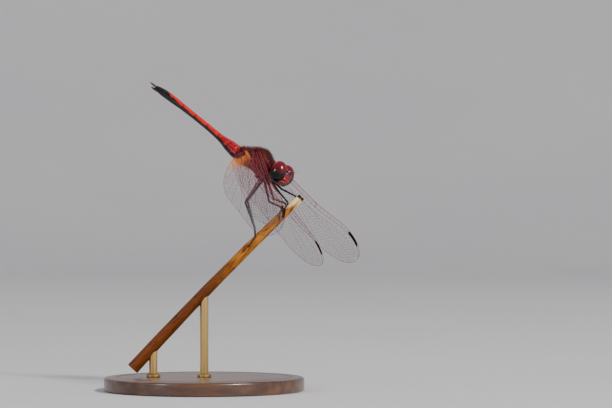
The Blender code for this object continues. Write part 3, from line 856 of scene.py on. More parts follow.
def buildFeelers():
    for side, word in sideWords:
        root = atHead(*onSide(feelers["root"], side))
        aim = onSide(feelers["aim"], side).normalized()
        parts = []
        for start, end, radius in feelers["cups"]:
            path = [root + aim * (start + (end - start) * share) for share in (0.0, 0.15, 0.5, 0.85, 1.0)]
            parts.append(roundTube("cup", path, [radius * k for k in (0.6, 0.9, 1.0, 0.95, 0.6)], 14))
        thick, thin = feelers["bristle"]
        path, radii = [], []
        for joint in range(13):
            share = joint / 12
            reach = feelers["from"] + (feelers["length"] - feelers["from"]) * share
            path.append(root + aim * reach + Vector(feelers["droop"]) * share**2)
            radii.append((thick + (thin - thick) * share) * (1.25 if joint % 3 == 0 else 1.0))
        parts.append(roundTube("bristle", path, radii, 8))
        mount(joinAll("feeler" + word.capitalize(), parts), headMatrix, "leg", ["antenna_" + word])


smallEyes = (((1.73, 0, 0.9), (0.1, 0.12, 0.12)), ((1.47, 0.34, 0.98), (0.11, 0.1, 0.11)),
             ((1.47, -0.34, 0.98), (0.11, 0.1, 0.11)))


def buildSmallEyes():
    parts = [roundBlob("smallEye", atHead(*spot), axes, 16, 12) for spot, axes in smallEyes]
    mount(joinAll("smallEyes", parts), headMatrix, "ocellus")


# Face hairs stand on two domes, each a middle and half sizes: the forehead, and the jaws below a tilt.
faceHair = {"count": 420, "length": (0.14, 0.34), "radius": 0.009, "bend": (0, 0, 0.03), "swirl": 0.4,
            "turn": (-1.3, 1.3), "tilt": (-1.2, 1.25), "jawTilt": -0.55,
            "forehead": ((1.27, 0, -0.15), (0.9, 1.06, 0.9)), "jaws": ((1.15, 0, -1.1), (0.62, 0.85, 0.75))}
fringe = {"count": 90, "length": (0.3, 0.55), "radius": 0.01, "bend": (-0.1, 0, 0), "behind": -1.35,
          "spread": (1.2, 1.5), "swirl": 0.3, "backward": (-1.0, -0.4)}


def buildFaceHair():
    chance = random.Random(3)
    roots = []
    for _ in range(faceHair["count"]):
        turn = chance.uniform(*faceHair["turn"])
        tilt = chance.uniform(*faceHair["tilt"])
        out = Vector((math.cos(turn) * math.cos(tilt), math.sin(turn) * math.cos(tilt), math.sin(tilt)))
        middle, reach = faceHair["jaws"] if tilt < faceHair["jawTilt"] else faceHair["forehead"]
        place = atHead(*middle) + out * Vector(reach)
        swirl = Vector([chance.uniform(-faceHair["swirl"], faceHair["swirl"]) for _ in range(3)])
        spot = (0.5 + turn / 3.0, 0.5 + tilt / 3.0)
        roots.append((place, out + swirl, chance.uniform(*faceHair["length"]), faceHair["radius"],
                      Vector(faceHair["bend"]), spot))
    for side in (1, -1):  # a fringe round the back of the head
        for _ in range(fringe["count"]):
            angle = math.pi * chance.random()
            spread = chance.uniform(*fringe["spread"])
            place = atHead(fringe["behind"], side * spread * math.sin(angle),
                           (spread - 0.15) * math.cos(angle))
            out = Vector((chance.uniform(*fringe["backward"]),
                          side * math.sin(angle) + chance.uniform(-fringe["swirl"], fringe["swirl"]),
                          math.cos(angle) + chance.uniform(-fringe["swirl"], fringe["swirl"])))
            roots.append((place, out, chance.uniform(*fringe["length"]), fringe["radius"],
                          Vector(fringe["bend"]), (0.5 + side * (0.1 + angle / 10), 0.1)))
    mount(spikes("headHair", roots), headMatrix, "hair")


buildEyes()
buildHeadShell()
buildFeelers()
buildSmallEyes()
buildFaceHair()
print("head ready")

legs = {"hips": {"front": (4.45, 0.75, -1.9), "middle": (3.95, 0.8, -2.45), "hind": (3.1, 0.42, -2.8)},
        "femur": (0.26, 0.3, 0.28, 0.235, 0.2), "tibia": (0.2, 0.19, 0.18, 0.175, 0.165), "foot": 0.135,
        "claw": 0.42, "clawRadius": 0.055, "thorns": (9, 0.62), "thighThorns": (7, 0.24),
        "thornRadius": 0.022, "knee": (0.2, 0.2, 0.2), "slim": 0.94, "gap": 0.02,
        "stripe": (1, 0, 0.25), "stripeWidth": 0.86, "stripeEnd": 0.4}


def nearestOnStem(point, centres):
    best = None
    for first, second in zip(centres, centres[1:]):
        length = (second - first).length_squared
        spot = first.lerp(second, clamp((point - first).dot(second - first) / length))
        if best is None or (point - spot).length < (point - best).length:
            best = spot
    return best


def thornRow(start, end, radius, count, length, down, roots, spread):
    ahead = (end - start).normalized()
    down = (down - ahead * down.dot(ahead)).normalized()
    for side in (1, -1):
        out = (down + ahead.cross(down) * side * spread).normalized()
        for k in range(count):
            share = 0.12 + 0.84 * k / (count - 1)
            place = start.lerp(end, share) + out * radius * 0.8
            scale = 0.7 + 0.3 * math.sin(math.pi * share)
            roots.append((place, out * 0.8 + ahead * 0.75, length * scale, legs["thornRadius"],
                          ahead * 0.08, (0.5, share)))


def legLines(nodes):
    # the middle lines of thigh, shin and foot, each from its upper end
    thigh, shin, foot = [ringCentres(node, 8, toStand)[0] for node in nodes]
    if min((p - foot[0]).length for p in shin) > min((p - foot[-1]).length for p in shin):
        foot.reverse()
    if (shin[0] - foot[0]).length < (shin[-1] - foot[0]).length:
        shin.reverse()
    if (thigh[0] - shin[0]).length < (thigh[-1] - shin[0]).length:
        thigh.reverse()
    return thigh, shin, foot


def buildLeg(pair, side, word):
    nodes = [f"leg_{pair}_{word}_{part}" for part in ("femur", "tibia", "tarsus")]
    thigh, shin, foot = legLines(nodes)
    stemCentres, stemRadii = stemMiddle()
    knee = thigh[-1].lerp(shin[0], 0.5)
    hip = toStand @ bodyMatrix @ onSide(legs["hips"][pair], side)
    ankle = shin[-1].lerp(foot[0], 0.5)
    sole = []
    for point in foot[1:]:
        spot = nearestOnStem(point, stemCentres)
        radius = min((abs((c - spot).length), r) for c, r in zip(stemCentres, stemRadii))[1]
        sole.append(spot + (point - spot).normalized() * (radius + legs["foot"] + legs["gap"]))
    thick = 1.0 if pair == "hind" else legs["slim"]
    thighPiece = roundTube("thigh", between(hip, knee, -0.06, -0.02, 0.1, 0.4, 0.75, 0.95) + [knee],
                           [0.12, *[r * thick for r in legs["femur"]], 0.1], 16)
    if pair == "front":  # a pale stripe along the front of the thigh
        front = (bodyMatrix.to_3x3() @ Vector(legs["stripe"])).normalized()
        dress(dress(thighPiece, "leg"), "paleStripe")
        for face in thighPiece.data.polygons:
            face.material_index = int(face.normal.dot(front) > legs["stripeWidth"]
                                      and (face.center - knee).length > legs["stripeEnd"])
    parts = [thighPiece, roundBlob("knee", knee, legs["knee"], 16, 12),
             roundTube("shin", between(knee, ankle, 0.0, 0.06, 0.3, 0.6, 0.9, 1.0),
                       [0.1, *[r * thick for r in legs["tibia"]]], 14)]
    walk = [ankle, *sole]
    reach = [spot for ends in zip(walk, walk[1:]) for spot in between(*ends, 0.0, 0.25, 0.5, 0.75)]
    reach.append(walk[-1])
    count = len(reach)
    radii = [legs["foot"] * (1.18 - 0.3 * ((i / (count - 1) * 3) % 1.0 < 0.18) - 0.15 * i / count)
             for i in range(count)]
    parts.append(roundTube("foot", reach, radii, 12))
    last = sole[-1]
    ahead = (last - sole[-2]).normalized()
    inward = (nearestOnStem(last, stemCentres) - last).normalized()
    aside = ahead.cross(inward)
    roots = [(last, ahead + aside * turn * 0.5 + inward * 0.1, legs["claw"], legs["clawRadius"],
              inward * 0.16, (0.5, 0.5)) for turn in (1, -1)]
    middle = (hip + ankle) / 2 - knee
    thornRow(knee, ankle, 0.16, *legs["thorns"], middle, roots, 0.55)
    thornRow(hip.lerp(knee, 0.25), knee, 0.26, *legs["thighThorns"], middle, roots, 0.45)
    parts.append(spikes("thorns", roots, 5))
    for part in parts:
        if not part.data.materials:
            dress(part, "leg")
    piece = joinAll("leg" + pair.capitalize() + word.capitalize(), parts)
    piece.data.uv_layers.remove(piece.data.uv_layers["OFBake"])
    mount(piece, worldMatrix, None, nodes)


for legPair in legs["hips"]:
    for legSide, legWord in sideWords:
        buildLeg(legPair, legSide, legWord)
print("legs ready")

blades = {
    "fore": {"length": 27.0, "tip": 3.2, "leadFrom": 21.0, "nodus": 14.0, "dip": 0.5, "trailFrom": 19.5,
             "trail": 6.6, "inner": 6.2, "baseFrom": 5.5, "base": 1.2, "arculus": 3.2, "spot": (22.4, 25.5),
             "cell": 0.56},
    "hind": {"length": 26.0, "tip": 3.1, "leadFrom": 20.0, "nodus": 10.7, "dip": 0.3, "trailFrom": 16.0,
             "trail": 7.7, "inner": 8.2, "baseFrom": 8.0, "base": 1.4, "arculus": 2.7, "spot": (21.3, 24.3),
             "cell": 0.58},
}
wings = {"wing_fore_left": ("fore", 1, 63.4, 51.5, -16.0), "wing_fore_right": ("fore", -1, 47.8, 42.5, -4.0),
         "wing_hind_left": ("hind", 1, 41.9, 41.6, -0.8), "wing_hind_right": ("hind", -1, 54.7, 45.6, -41.1)}
# Long veins from the front edge back: thickness, pleat height, and where each runs, as places along the wing
# and back from its base line. The first two of each wing are measured from the front edge.
longVeins = {
    "fore": [
        (0.048, -1.0, [(-0.7, 0.34), (2.0, 0.42), (12.5, 0.4), (13.9, 0.05), (14.0, 0.0)]),
        (0.07, 1.0, [(-0.7, 0.62), (3.0, 0.8), (14.0, 0.86), (22.0, 0.64), (25.0, 0.55), (26.6, 0.42),
                     (27.0, 0.1)]),
        (0.05, -0.7, [(3.2, 1.3), (8.0, 2.0), (14.0, 2.15), (20.0, 1.6), (24.0, 2.0), (27.0, 3.1)]),
        (0.045, -0.3, [(12.5, 2.15), (16.0, 2.5), (20.0, 3.1), (24.0, 3.9), (26.6, 4.8)]),
        (0.042, 0.4, [(10.0, 2.1), (13.0, 2.8), (16.0, 3.35), (20.0, 4.05), (23.0, 4.95), (25.2, 6.0)]),
        (0.045, -0.5, [(8.0, 2.0), (10.0, 2.75), (13.0, 3.9), (16.0, 5.1), (19.0, 6.3), (20.0, 6.9)]),
        (0.045, 0.5, [(3.2, 1.75), (5.0, 2.3), (8.0, 2.9), (11.0, 3.85), (14.0, 5.0), (17.0, 6.4),
                      (18.0, 7.2)]),
        (0.05, -0.5, [(-0.7, 0.85), (0.0, 1.1), (3.2, 1.95), (4.8, 2.45), (5.3, 4.0), (8.0, 4.8),
                      (10.5, 5.6),
                      (12.6, 6.5), (13.4, 7.2)]),
        (0.05, 0.4, [(-0.7, 0.95), (0.0, 1.25), (2.0, 2.3), (4.0, 3.4), (5.3, 4.0), (6.5, 5.0), (8.0, 6.3),
                     (8.6, 7.2)]),
    ],
    "hind": [
        (0.048, -1.0, [(-0.7, 0.34), (2.0, 0.42), (9.4, 0.4), (10.6, 0.05), (10.7, 0.0)]),
        (0.07, 1.0, [(-0.7, 0.62), (3.0, 0.8), (10.7, 0.86), (21.0, 0.64), (24.0, 0.55), (25.6, 0.42),
                     (26.0, 0.1)]),
        (0.05, -0.7, [(2.7, 1.25), (6.0, 1.8), (10.7, 1.9), (16.0, 1.62), (20.0, 1.75), (23.5, 2.1),
                      (26.0, 3.0)]),
        (0.045, -0.3, [(9.5, 1.9), (12.0, 2.35), (16.0, 2.9), (20.0, 3.6), (23.5, 4.2), (25.6, 5.0)]),
        (0.042, 0.4, [(7.0, 1.85), (9.0, 2.5), (12.0, 3.0), (16.0, 3.7), (20.0, 4.8), (23.0, 5.7),
                      (24.5, 6.6)]),
        (0.045, -0.5, [(5.5, 1.75), (7.0, 2.35), (10.0, 3.35), (13.0, 4.5), (16.0, 5.9), (18.5, 7.2),
                       (19.5, 8.0)]),
        (0.045, 0.5, [(2.7, 1.65), (5.0, 2.15), (7.0, 2.75), (10.0, 3.9), (13.0, 5.4), (16.0, 7.1),
                      (17.5, 8.2)]),
        (0.05, -0.5, [(-0.7, 0.9), (0.0, 1.2), (2.7, 2.05), (3.1, 2.7), (5.0, 3.15), (8.0, 4.6),
                      (11.0, 6.3),
                      (13.5, 7.9), (14.5, 8.6)]),
        (0.05, 0.4, [(-0.7, 1.0), (0.0, 1.3), (2.7, 2.3), (3.1, 2.75), (5.0, 4.0), (7.0, 5.9), (9.0, 8.0),
                     (10.0, 9.4)]),
        (0.045, -0.4, [(-0.7, 1.05), (0.0, 1.35), (2.0, 2.35), (3.2, 3.4), (4.5, 5.0), (6.0, 7.0),
                       (7.0, 9.0),
                       (7.4, 9.8)]),
        (0.045, 0.3, [(-0.7, 1.1), (0.0, 1.4), (1.0, 2.0), (1.6, 3.2), (2.6, 5.2), (3.4, 7.3), (4.2, 9.8)]),
    ],
}
film = {"pleat": 0.15, "netRadius": 0.019, "edgeRadius": 0.075, "rearRadius": 0.038, "tipRadius": 0.034,
        "thin": 0.8, "amber": 3.7, "paleAmber": 4.7, "ragged": 0.7, "crossEnds": (1.4, 1.5),
        "crossSteps": (1.3, 0.86), "crossLean": 0.12,
        "roots": (((0.15, 0.25, 0.02), (0.75, 0.26, 0.2)), ((0.1, 0.75, 0.0), (0.6, 0.22, 0.18)),
                  ((0.2, 1.05, -0.02), (0.5, 0.2, 0.15)))}


def frontEdge(blade, along):
    if along < 0.0:
        return 0.0
    if along < blade["nodus"]:
        return blade["dip"] * math.sin(math.pi / 2 * along / blade["nodus"]) ** 2
    if along < blade["leadFrom"]:
        share = (blade["leadFrom"] - along) / (blade["leadFrom"] - blade["nodus"])
        return blade["dip"] * math.sin(math.pi / 2 * share) ** 2
    share = min((along - blade["leadFrom"]) / (blade["length"] - blade["leadFrom"]), 1.0)
    return blade["tip"] * (1 - math.sqrt(1 - share**2))


def rearEdge(blade, along):
    if along < blade["baseFrom"]:
        sine = max(1 - max(along, 0.0) / blade["baseFrom"], 0.0) ** (1 / 0.8)
        return blade["base"] + (blade["inner"] - blade["base"]) * math.sqrt(max(1 - sine**2, 0.0)) ** 0.8
    if along < blade["trailFrom"]:
        share = (along - blade["baseFrom"]) / (blade["trailFrom"] - blade["baseFrom"])
        return blade["inner"] + (blade["trail"] - blade["inner"]) * share
    cosine = min((along - blade["trailFrom"]) / (blade["length"] - blade["trailFrom"]), 1.0) ** (1 / 0.87)
    return blade["tip"] + (blade["trail"] - blade["tip"]) * math.sqrt(1 - cosine**2) ** 0.87


def veinLines(kind):
    # how far back the front edge, each long vein and the rear edge run at a place along the wing
    blade = blades[kind]
    lines = [(points[0][0], points[-1], curveThrough(points)) for _, _, points in longVeins[kind]]

    def levels(along):
        front, rear = frontEdge(blade, along), rearEdge(blade, along)
        found = [front]
        for i, (start, last, curve) in enumerate(lines):
            if along < start:
                found.append(found[-1])
                continue
            back = curve(along) + (front if i < 2 else 0.0)
            if along > last[0] and i >= 2:
                back = last[1] + (along - last[0]) * 1.5
            found.append(clamp(back, found[-1], rear))
        return found + [rear]

    return levels


def wingHeight(kind, levels, along, back):
    # the pleated height of the wing, up on ridge veins and down in trough veins
    rows = levels(along)
    pleats = [0.6] + [vein[1] for vein in longVeins[kind]] + [0.0]
    depth = film["pleat"] * (1 - 0.8 * clamp(along / blades[kind]["length"]))
    total = max(rows[-1] - rows[0], 0.01)
    height = 0.0
    for low, high, first, second in zip(rows, rows[1:], pleats, pleats[1:]):
        if back >= low and high - low > 0.001:
            height = first + (second - first) * min((back - low) / (high - low), 1.0)
    return height * depth * min(total / 2.0, 1.0) + 0.1 * math.sin(math.pi * clamp((back - rows[0]) / total))


class Strip:
    # the strip of a wing between two long veins, and the net of cells that fills it
    def __init__(self, levels, number, start, end, size, chance):
        self.levels, self.number = levels, number
        self.start, self.end, self.size = start, end, size
        self.chance = chance

    def low(self, along):
        return self.levels(along)[self.number]

    def high(self, along):
        return self.levels(along)[self.number + 1]

    def width(self, along):
        return self.high(along) - self.low(along)

    def seeds(self):
        # one seed for each cell, in rows, every other row shifted by half a cell
        seeds = []
        along = self.start + self.size * 0.5
        while along < self.end - self.size * 0.25:
            width = self.width(along)
            rows = max(1, round(width / (self.size * 0.9)))
            for row in range(rows if width > 0.13 else 0):
                place = along + self.size * (0.5 * (row % 2) + self.chance.uniform(-0.1, 0.1))
                place = clamp(place, self.start + 0.06, self.end - 0.06)
                room = self.width(place)
                if room > 0.12:
                    shift = self.chance.uniform(-0.08, 0.08) if rows > 1 else 0.0
                    seeds.append(Vector((place, self.low(place) + room * (row + 0.5 + shift) / rows)))
            along += self.size * (1.0 if rows > 1 else 1.1)
        return seeds

    def mirrored(self, seeds):
        # copies of the seeds over each side of the strip, so that the cells end on its veins
        ghosts = []
        for kind, edge in (("low", self.low), ("high", self.high)):
            for seed in seeds:
                slope = clamp((edge(seed.x + 0.02) - edge(seed.x - 0.02)) / 0.04, -3.0, 3.0)
                away = (seed.y - edge(seed.x)) / (1 + slope**2)
                ghosts.append((Vector((seed.x + 2 * away * slope, seed.y - 2 * away)), kind))
        for edge in (self.start, self.end):
            ghosts += [(Vector((2 * edge - seed.x, seed.y)), "end") for seed in seeds
                       if abs(seed.x - edge) < self.size * 1.5]
        return ghosts

    def evened(self, seeds, points, faces, origins):
        # each seed moves towards the middle of its neighbours
        near = {}
        for face in faces:
            for first, second in zip(face, (*face[1:], face[0])):
                near.setdefault(first, set()).add(second)
                near.setdefault(second, set()).add(first)
        moved = list(seeds)
        for number, around in near.items():
            for origin in origins[number]:
                if origin < len(seeds) and around:
                    middle = sum((points[k] for k in around), Vector((0, 0))) / len(around)
                    spot = seeds[origin].lerp(middle, 0.55)
                    spot.x = clamp(spot.x, self.start + 0.05, self.end - 0.05)
                    low, high = self.low(spot.x), self.high(spot.x)
                    spot.y = clamp(spot.y, low + (high - low) * 0.1, high - (high - low) * 0.1)
                    moved[origin] = spot
        return moved

    def walls(self):
        seeds = self.seeds()
        count = len(seeds)
        if count < 2:
            return []
        for turn in range(4):
            ghosts = self.mirrored(seeds)
            kinds = [""] * count + [kind for ghost, kind in ghosts]
            points, _, faces, origins, *_ = delaunay_2d_cdt(seeds + [ghost for ghost, kind in ghosts],
                                                            [], [], 0, 1e-6)
            if turn < 3:
                seeds = self.evened(seeds, points, faces, origins)
        corners, borders = [], {}
        for number, face in enumerate(faces):
            spot = middleOf(*[points[k] for k in face])
            spot.x = clamp(spot.x, self.start, self.end)
            spot.y = clamp(spot.y, self.low(spot.x), self.high(spot.x))
            touched = {kinds[origin] for k in face for origin in origins[k]}
            if "low" in touched and "high" not in touched:
                spot.y = self.low(spot.x)
            elif "high" in touched and "low" not in touched:
                spot.y = self.high(spot.x)
            corners.append(spot)
            for first, second in zip(face, (*face[1:], face[0])):
                borders.setdefault((min(first, second), max(first, second)), []).append(number)
        walls = []
        for border, sides in borders.items():
            if len(sides) == 2 and all(any(origin < count for origin in origins[k]) for k in border):
                ends = [corners[number].copy() for number in sides]
                if 0.015 < (ends[0] - ends[1]).length < self.size * 2.6:
                    walls.append(ends)
        return walls


def middleOf(a, b, c):
    # the point equally far from three others
    double = 2 * (a.x * (b.y - c.y) + b.x * (c.y - a.y) + c.x * (a.y - b.y))
    if abs(double) < 1e-9:
        return (a + b + c) / 3
    sums = [point.length_squared for point in (a, b, c)]
    return Vector(((sums[0] * (b.y - c.y) + sums[1] * (c.y - a.y) + sums[2] * (a.y - b.y)) / double,
                   (sums[0] * (c.x - b.x) + sums[1] * (a.x - c.x) + sums[2] * (b.x - a.x)) / double))


def wingNet(kind, levels, chance):
    blade = blades[kind]
    walls = []
    for number in range(2, len(longVeins[kind]) + 1):
        first = blade["arculus"] if number < 8 else 0.3
        strip = Strip(levels, number, 0.0, 0.0, blade["cell"] * (1.25 if number == 2 else 1.0), chance)
        steps = [first + 0.1 * k for k in range(int((blade["length"] - first) * 10))]
        inside = [along for along in steps if strip.width(along) > 0.13]
        if inside:
            strip.start, strip.end = inside[0], inside[-1]
            walls += strip.walls()
    along, stop = film["crossEnds"][0], blade["length"] - film["crossEnds"][1]
    while along < stop:
        beyond = along > blade["nodus"]
        if not (blade["spot"][0] - 0.2 < along < blade["spot"][1] + 0.2):
            far = along + (film["crossLean"] if beyond else 0.0)
            walls.append([Vector((along, levels(along)[0])), Vector((far, levels(far)[2]))])
        along += film["crossSteps"][1 if beyond else 0]
    return walls


def wingStations(blade):
    # places along the wing, closer together at its root and at its tip
    last = blade["length"] - 2.4
    count = round((last - 2.0) / 0.4)
    return ([-0.7, -0.35, 0.0] + [2.0 * (k / 10) ** 1.8 for k in range(1, 11)]
            + [2.0 + (last - 2.0) * k / count for k in range(1, count + 1)]
            + [last + 2.39 * math.sin(math.pi / 2 * k / 10) for k in range(1, 11)])


def edgeChain(blade, edge, radius, height):
    chain = []
    for along in wingStations(blade):
        back = edge(blade, along)
        thin = radius + (film["tipRadius"] - radius) * max(along, 0) / blade["length"]
        chain.append((Vector((along, back, height(along, back))), thin))
    return chain + [(Vector((blade["length"], blade["tip"], chain[-1][0].z)), film["tipRadius"])]


def veinChain(blade, number, levels, lift):
    radius, _, points = longVeins[blade][number]
    length = blades[blade]["length"]
    chain = []
    along = points[0][0]
    while along <= min(points[-1][0] + 0.01, length - 0.05):
        rows = levels(along)
        back = rows[number + 1]
        chain.append((lift(along, back), film["thin"] * radius * (1 - 0.5 * max(along, 0) / length)))
        if rows[-1] - back < 0.01 or along > 1 and back - rows[0] < 0.01:
            break
        along += 0.2
    return chain


def amberSpread(place):
    return math.hypot(place.x * 1.1, place.y * 0.86)


def buildFilm(name, kind, levels, height):
    spots = wingStations(blades[kind])

    def filmPoint(station, row):
        edges = levels(spots[station])
        strip, half = divmod(row, 2)
        back = (edges[strip] + edges[strip + 1]) / 2 if half else edges[strip]
        return spots[station], back, height(spots[station], back)

    piece = flatGrid(name, 2 * (len(longVeins[kind]) + 1), len(spots) - 1, filmPoint)
    for shade in ("film", "amberFilm", "paleAmberFilm"):
        dress(piece, shade)
    cleanEdges(piece, 0.004, capped=False)
    if kind == "hind":
        # smaller faces near the root, so that the amber's edge can fade in spots
        for face in piece.data.polygons:
            face.select = amberSpread(face.center) < film["paleAmber"] + 0.6
        bpy.ops.object.mode_set(mode="EDIT")
        bpy.ops.mesh.select_mode(type="FACE")
        bpy.ops.mesh.subdivide(number_cuts=4)
        bpy.ops.object.mode_set(mode="OBJECT")
        for face in piece.data.polygons:
            spread = amberSpread(face.center)
            spread += film["ragged"] * (noise.noise(face.center * 1.1) + noise.noise(face.center * 7.0))
            face.material_index = 1 if spread < film["amber"] else 2 if spread < film["paleAmber"] else 0
    return piece


def buildSpot(name, blade, levels, height):
    # the dark thickened cell near the tip, between the front edge and the second long vein
    first, last = blade["spot"]
    rings = []
    for k in range(13):
        along = first + (last - first) * k / 12
        front, back = levels(along)[0] + 0.02, levels(along)[2] + 0.02
        if k in (0, 12):
            front, back = front + 0.2, back - 0.2
        ring = []
        for angle in fullTurn(12):
            share = 0.5 + 0.5 * squarer(math.cos(angle), 0.6)
            across = front + (back - front) * share
            rise = height(along, across) + 0.06 * math.sin(angle)
            ring.append(Vector((along + 0.12 * (share - 0.5), across, rise)))
        rings.append(ring)
    return dress(rollGrid(name, rings), "stigma")


def wingMatrix(kind, side, sweep, droop, twist):
    sweep, droop, twist = (math.radians(angle) for angle in (sweep, droop, twist))
    span = Vector((math.sin(sweep), math.cos(sweep) * math.cos(droop), -math.cos(sweep) * math.sin(droop)))
    chord = Vector((-1, 0, 0))
    chord = (chord - span * chord.dot(span)).normalized()
    chord = chord * math.cos(twist) + span.cross(chord) * math.sin(twist)
    span, chord, root = [onSide(part, side) for part in (span, chord, wingRoots[kind])]
    axes = Matrix((span, chord, span.cross(chord))).transposed().to_4x4()
    return bodyMatrix @ Matrix.Translation(root) @ axes


def buildWing(name, kind, side, sweep, droop, twist):
    blade = blades[kind]
    levels = veinLines(kind)

    def height(along, back):
        return wingHeight(kind, levels, along, back)

    def lift(along, back):
        spot = Vector((along, back))
        return Vector((*spot, height(*spot)))

    walls = wingNet(kind, levels, random.Random(name))
    net = wires(name + "Net", [[(lift(*end), film["netRadius"]) for end in wall] for wall in walls])
    dress(net, "netVein")
    chains = [edgeChain(blade, frontEdge, film["edgeRadius"], height),
              edgeChain(blade, rearEdge, film["rearRadius"], height)]
    for number in range(len(longVeins[kind])):
        chain = veinChain(kind, number, levels, lift)
        if len(chain) > 1:
            chains.append(chain)
    arculus, nodus = blade["arculus"], blade["nodus"]
    chains.append([(lift(arculus, levels(arculus + 0.001)[k]), 0.05) for k in (2, 3, 7, 8)])
    chains.append([(lift(nodus + k * 0.1, levels(nodus)[0] + k * 0.44), 0.06) for k in range(3)])
    main = dress(wires(name + "Veins", chains, 2), "mainVein")
    sheet = buildFilm(name + "Film", kind, levels, height)
    spot = buildSpot(name + "Spot", blade, levels, height)
    root = joinAll("wingRoot", [roundBlob("wingRoot", place, axes, 16, 10) for place, axes in film["roots"]])
    dress(root, "thorax")
    for piece in (net, main, sheet, spot, root):
        settle(piece, wingMatrix(kind, side, sweep, droop, twist))
    piece = joinAll(name.replace("_", ""), [sheet, net, main, spot, root])
    complete(piece, [name], 50)


for wingName, wingPose in wings.items():
    buildWing(wingName, *wingPose)
print("wings ready")

stem = {"sides": 56, "rings": 150, "ridge": 0.03, "wobble": 0.035, "hollow": 0.28, "ragged": 0.16,
        "knots": ((0.3, 1.5, 0.035), (14.0, 4.2, 0.08), (27.0, 2.6, 0.06)),
        "inner": ((0.06, 1.0), (0.4, 0.95), (0.68, 0.55), (0.8, 0.15), (0.93, 0.0))}


def stemSwell(around, angle, along):
    # ridges along the stem, a slow unevenness and a few knots
    ridges = noise.noise(Vector((around.x * 4.2, around.y * 4.2, along * 0.05)))
    ridges += 0.5 * noise.noise(Vector((around.x * 11, around.y * 11, along * 0.16)))
    slow = noise.noise(Vector((around.x * 0.8, around.y * 0.8, along * 0.22 + 3.0)))
    swell = 1 + stem["ridge"] * ridges + stem["wobble"] * slow
    for place, turn, grow in stem["knots"]:
        swell *= 1 + grow * hump(along - place, 0.9) * max(math.cos(angle - turn), 0.0) ** 3
    return swell


def buildStem():
    centres, radii = stemMiddle()
    places = [0.0]
    for first, second in zip(centres, centres[1:]):
        places.append(places[-1] + (second - first).length)
    path = [curveThrough(list(zip(places, [c[k] for c in centres]))) for k in range(3)]
    radius = curveThrough(list(zip(places, radii)))
    across = Vector((0, 1, 0))
    rings = [(0.0, share, dip * stem["hollow"]) for share, dip in stem["inner"]]
    rings += [(places[-1] * i / stem["rings"], 1.0, 0.0) for i in range(stem["rings"] + 1)]
    shaped = []
    for along, share, dip in rings:
        here = Vector([part(along) for part in path])
        before, after = max(along - 0.5, 0.0), min(along + 0.5, places[-1])
        ahead = Vector([part(after) - part(before) for part in path]).normalized()
        up = ahead.cross(across)
        ring = []
        for angle in fullTurn(stem["sides"]):
            around = Vector((math.cos(angle), math.sin(angle)))
            thick = radius(along) * stemSwell(around, angle, along)
            ragged = 0.0
            if along < 0.01:  # the broken rim at the cut
                ragged = stem["ragged"] * noise.noise(Vector((around.x * 3.1, around.y * 3.1, 5.0)))
            if share < 0.9:
                ragged *= 0.4
            ring.append(here + (across * around.x + up * around.y) * thick * share
                        + ahead * (dip + 0.06 + ragged))
        shaped.append(ring)
    piece = dress(dress(rollGrid("stem", shaped), "stem"), "pith")
    down = (centres[-1] - centres[0]).normalized()
    up = down.cross(across)
    for face in piece.data.polygons:
        spot = face.center - centres[0]
        away = (spot - down * spot.dot(down)).length
        if spot.dot(down) < 0.6 and away < radii[0] * 0.82:
            face.material_index = 1
    mount(piece, worldMatrix, None, ["stem"], 50,
          lambda co: ((co - centres[0]).dot(down), co.y - centres[0].y, (co - centres[0]).dot(up)))


buildStem()
print("stem ready")

stand = {"radius": 19.0, "thickness": 2.6, "chamfer": 0.5, "groove": 16.6, "grooveDepth": 0.18,
         "grooveStep": 0.09, "collar": 1.35, "collarHeight": 0.7, "rod": 0.8}


def buildBase():
    radius, top, chamfer = stand["radius"], stand["thickness"], stand["chamfer"]
    profile = [(0.4, 0.0), (radius * 0.5, 0.0), (radius - 0.25, 0.0), (radius, 0.25),
               (radius, top - chamfer)]
    for k in range(1, 7):
        angle = math.pi / 2 * k / 6
        profile.append((radius - chamfer + chamfer * math.cos(angle),
                        top - chamfer + chamfer * math.sin(angle)))
    for k in range(-4, 5):
        sink = stand["grooveDepth"] * math.cos(math.pi / 2 * k / 4) ** 2
        profile.append((stand["groove"] - k * stand["grooveStep"], top - sink))
    profile += [(radius * 0.6, top), (radius * 0.25, top), (0.4, top)]
    mount(turned("standBase", profile, 160), worldMatrix, "wood", ["stand_base"], 40)


def buildRods():
    centres = stemMiddle()[0]
    rod, collar, foot = stand["rod"], stand["collar"], stand["thickness"]
    cap = foot + stand["collarHeight"]
    for node in ("stand_rod_long", "stand_rod_short"):
        low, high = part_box(node)
        middle = (low + high) / 2 / mm
        top = nearestOnStem(Vector((middle.x, middle.y, high.z / mm)), centres).z
        profile = [(rod * 0.3, 1.0), (rod, 1.0), (rod, foot - 0.02), (collar - 0.12, foot - 0.02),
                   (collar, foot + 0.12), (collar, cap - 0.2), (collar - 0.2, cap), (rod + 0.06, cap),
                   (rod, cap + 0.06), (rod, (cap + top) / 2), (rod, top - 0.15), (rod * 0.85, top),
                   (rod * 0.3, top)]
        mount(turned(node.replace("stand_rod_", "rod"), profile, 40, (middle.x, middle.y)), worldMatrix,
              "brass", [node], 35)


buildBase()
buildRods()
print("stand ready")

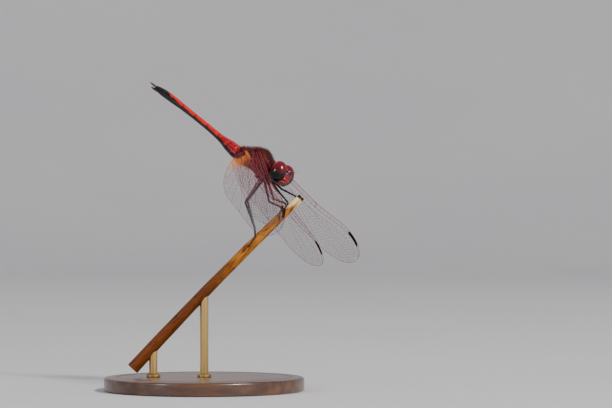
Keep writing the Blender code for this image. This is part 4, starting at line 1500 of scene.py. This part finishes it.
stage = {"flat": 900.0, "bend": 500.0, "wall": 900.0, "air": (0.93, 0.95, 1.0, 1.0), "airStrength": 0.42}
view = {"place": (19.3, -550.0, 35.4), "lens": 170.6, "sensor": 36.0, "clip": (0.01, 20.0)}
lamps = {"aim": (8.0, 0.0, 30.0),
         "keyLamp": ((820.0, -800.0, 980.0), 230.0, 27.0, (1.0, 0.97, 0.92)),
         "fillLamp": ((-950.0, -800.0, 520.0), 260.0, 5.5, (0.9, 0.94, 1.0)),
         "rimLamp": ((-350.0, 800.0, 900.0), 700.0, 1.2, (1.0, 0.96, 0.95))}


def buildStage():
    flat, bend = stage["flat"], stage["bend"]
    profile = [(0.0, 0.0), (flat * 0.5, 0.0), (flat, 0.0)]
    for i in range(1, 13):
        angle = math.pi / 2 * i / 12
        profile.append((flat + bend * math.sin(angle), bend * (1 - math.cos(angle))))
    profile.append((flat + bend, bend + stage["wall"]))
    piece = turned("studioFloor", profile, 96, capped=False)
    editAll(piece)
    bpy.ops.mesh.flip_normals()
    bpy.ops.object.mode_set(mode="OBJECT")
    settle(piece, worldMatrix)
    dress(piece, "floor")
    bpy.ops.object.shade_smooth()


def addLamp(name, place, size, power, colour):
    deselect()
    bpy.ops.object.light_add(type="AREA", location=Vector(place) * mm)
    lamp = bpy.context.object
    lamp.name = name
    lamp.data.shape = "DISK"
    lamp.data.size = size * mm
    lamp.data.energy = power
    lamp.data.color = colour
    lamp.rotation_euler = (Vector(lamps["aim"]) - Vector(place)).to_track_quat("-Z", "Y").to_euler()


def buildView():
    deselect()
    bpy.ops.object.camera_add(location=Vector(view["place"]) * mm, rotation=(math.pi / 2, 0, 0))
    camera = bpy.context.object
    camera.data.lens = view["lens"]
    camera.data.sensor_width = view["sensor"]
    camera.data.clip_start, camera.data.clip_end = view["clip"]
    bpy.context.scene.camera = camera
    world = bpy.data.worlds.new("studio air")
    world.use_nodes = True
    fillInputs(world.node_tree.nodes["Background"],
               {"Color": stage["air"], "Strength": stage["airStrength"]})
    bpy.context.scene.world = world


buildStage()
for lampName in ("keyLamp", "fillLamp", "rimLamp"):
    addLamp(lampName, *lamps[lampName])
buildView()
print("stage ready")
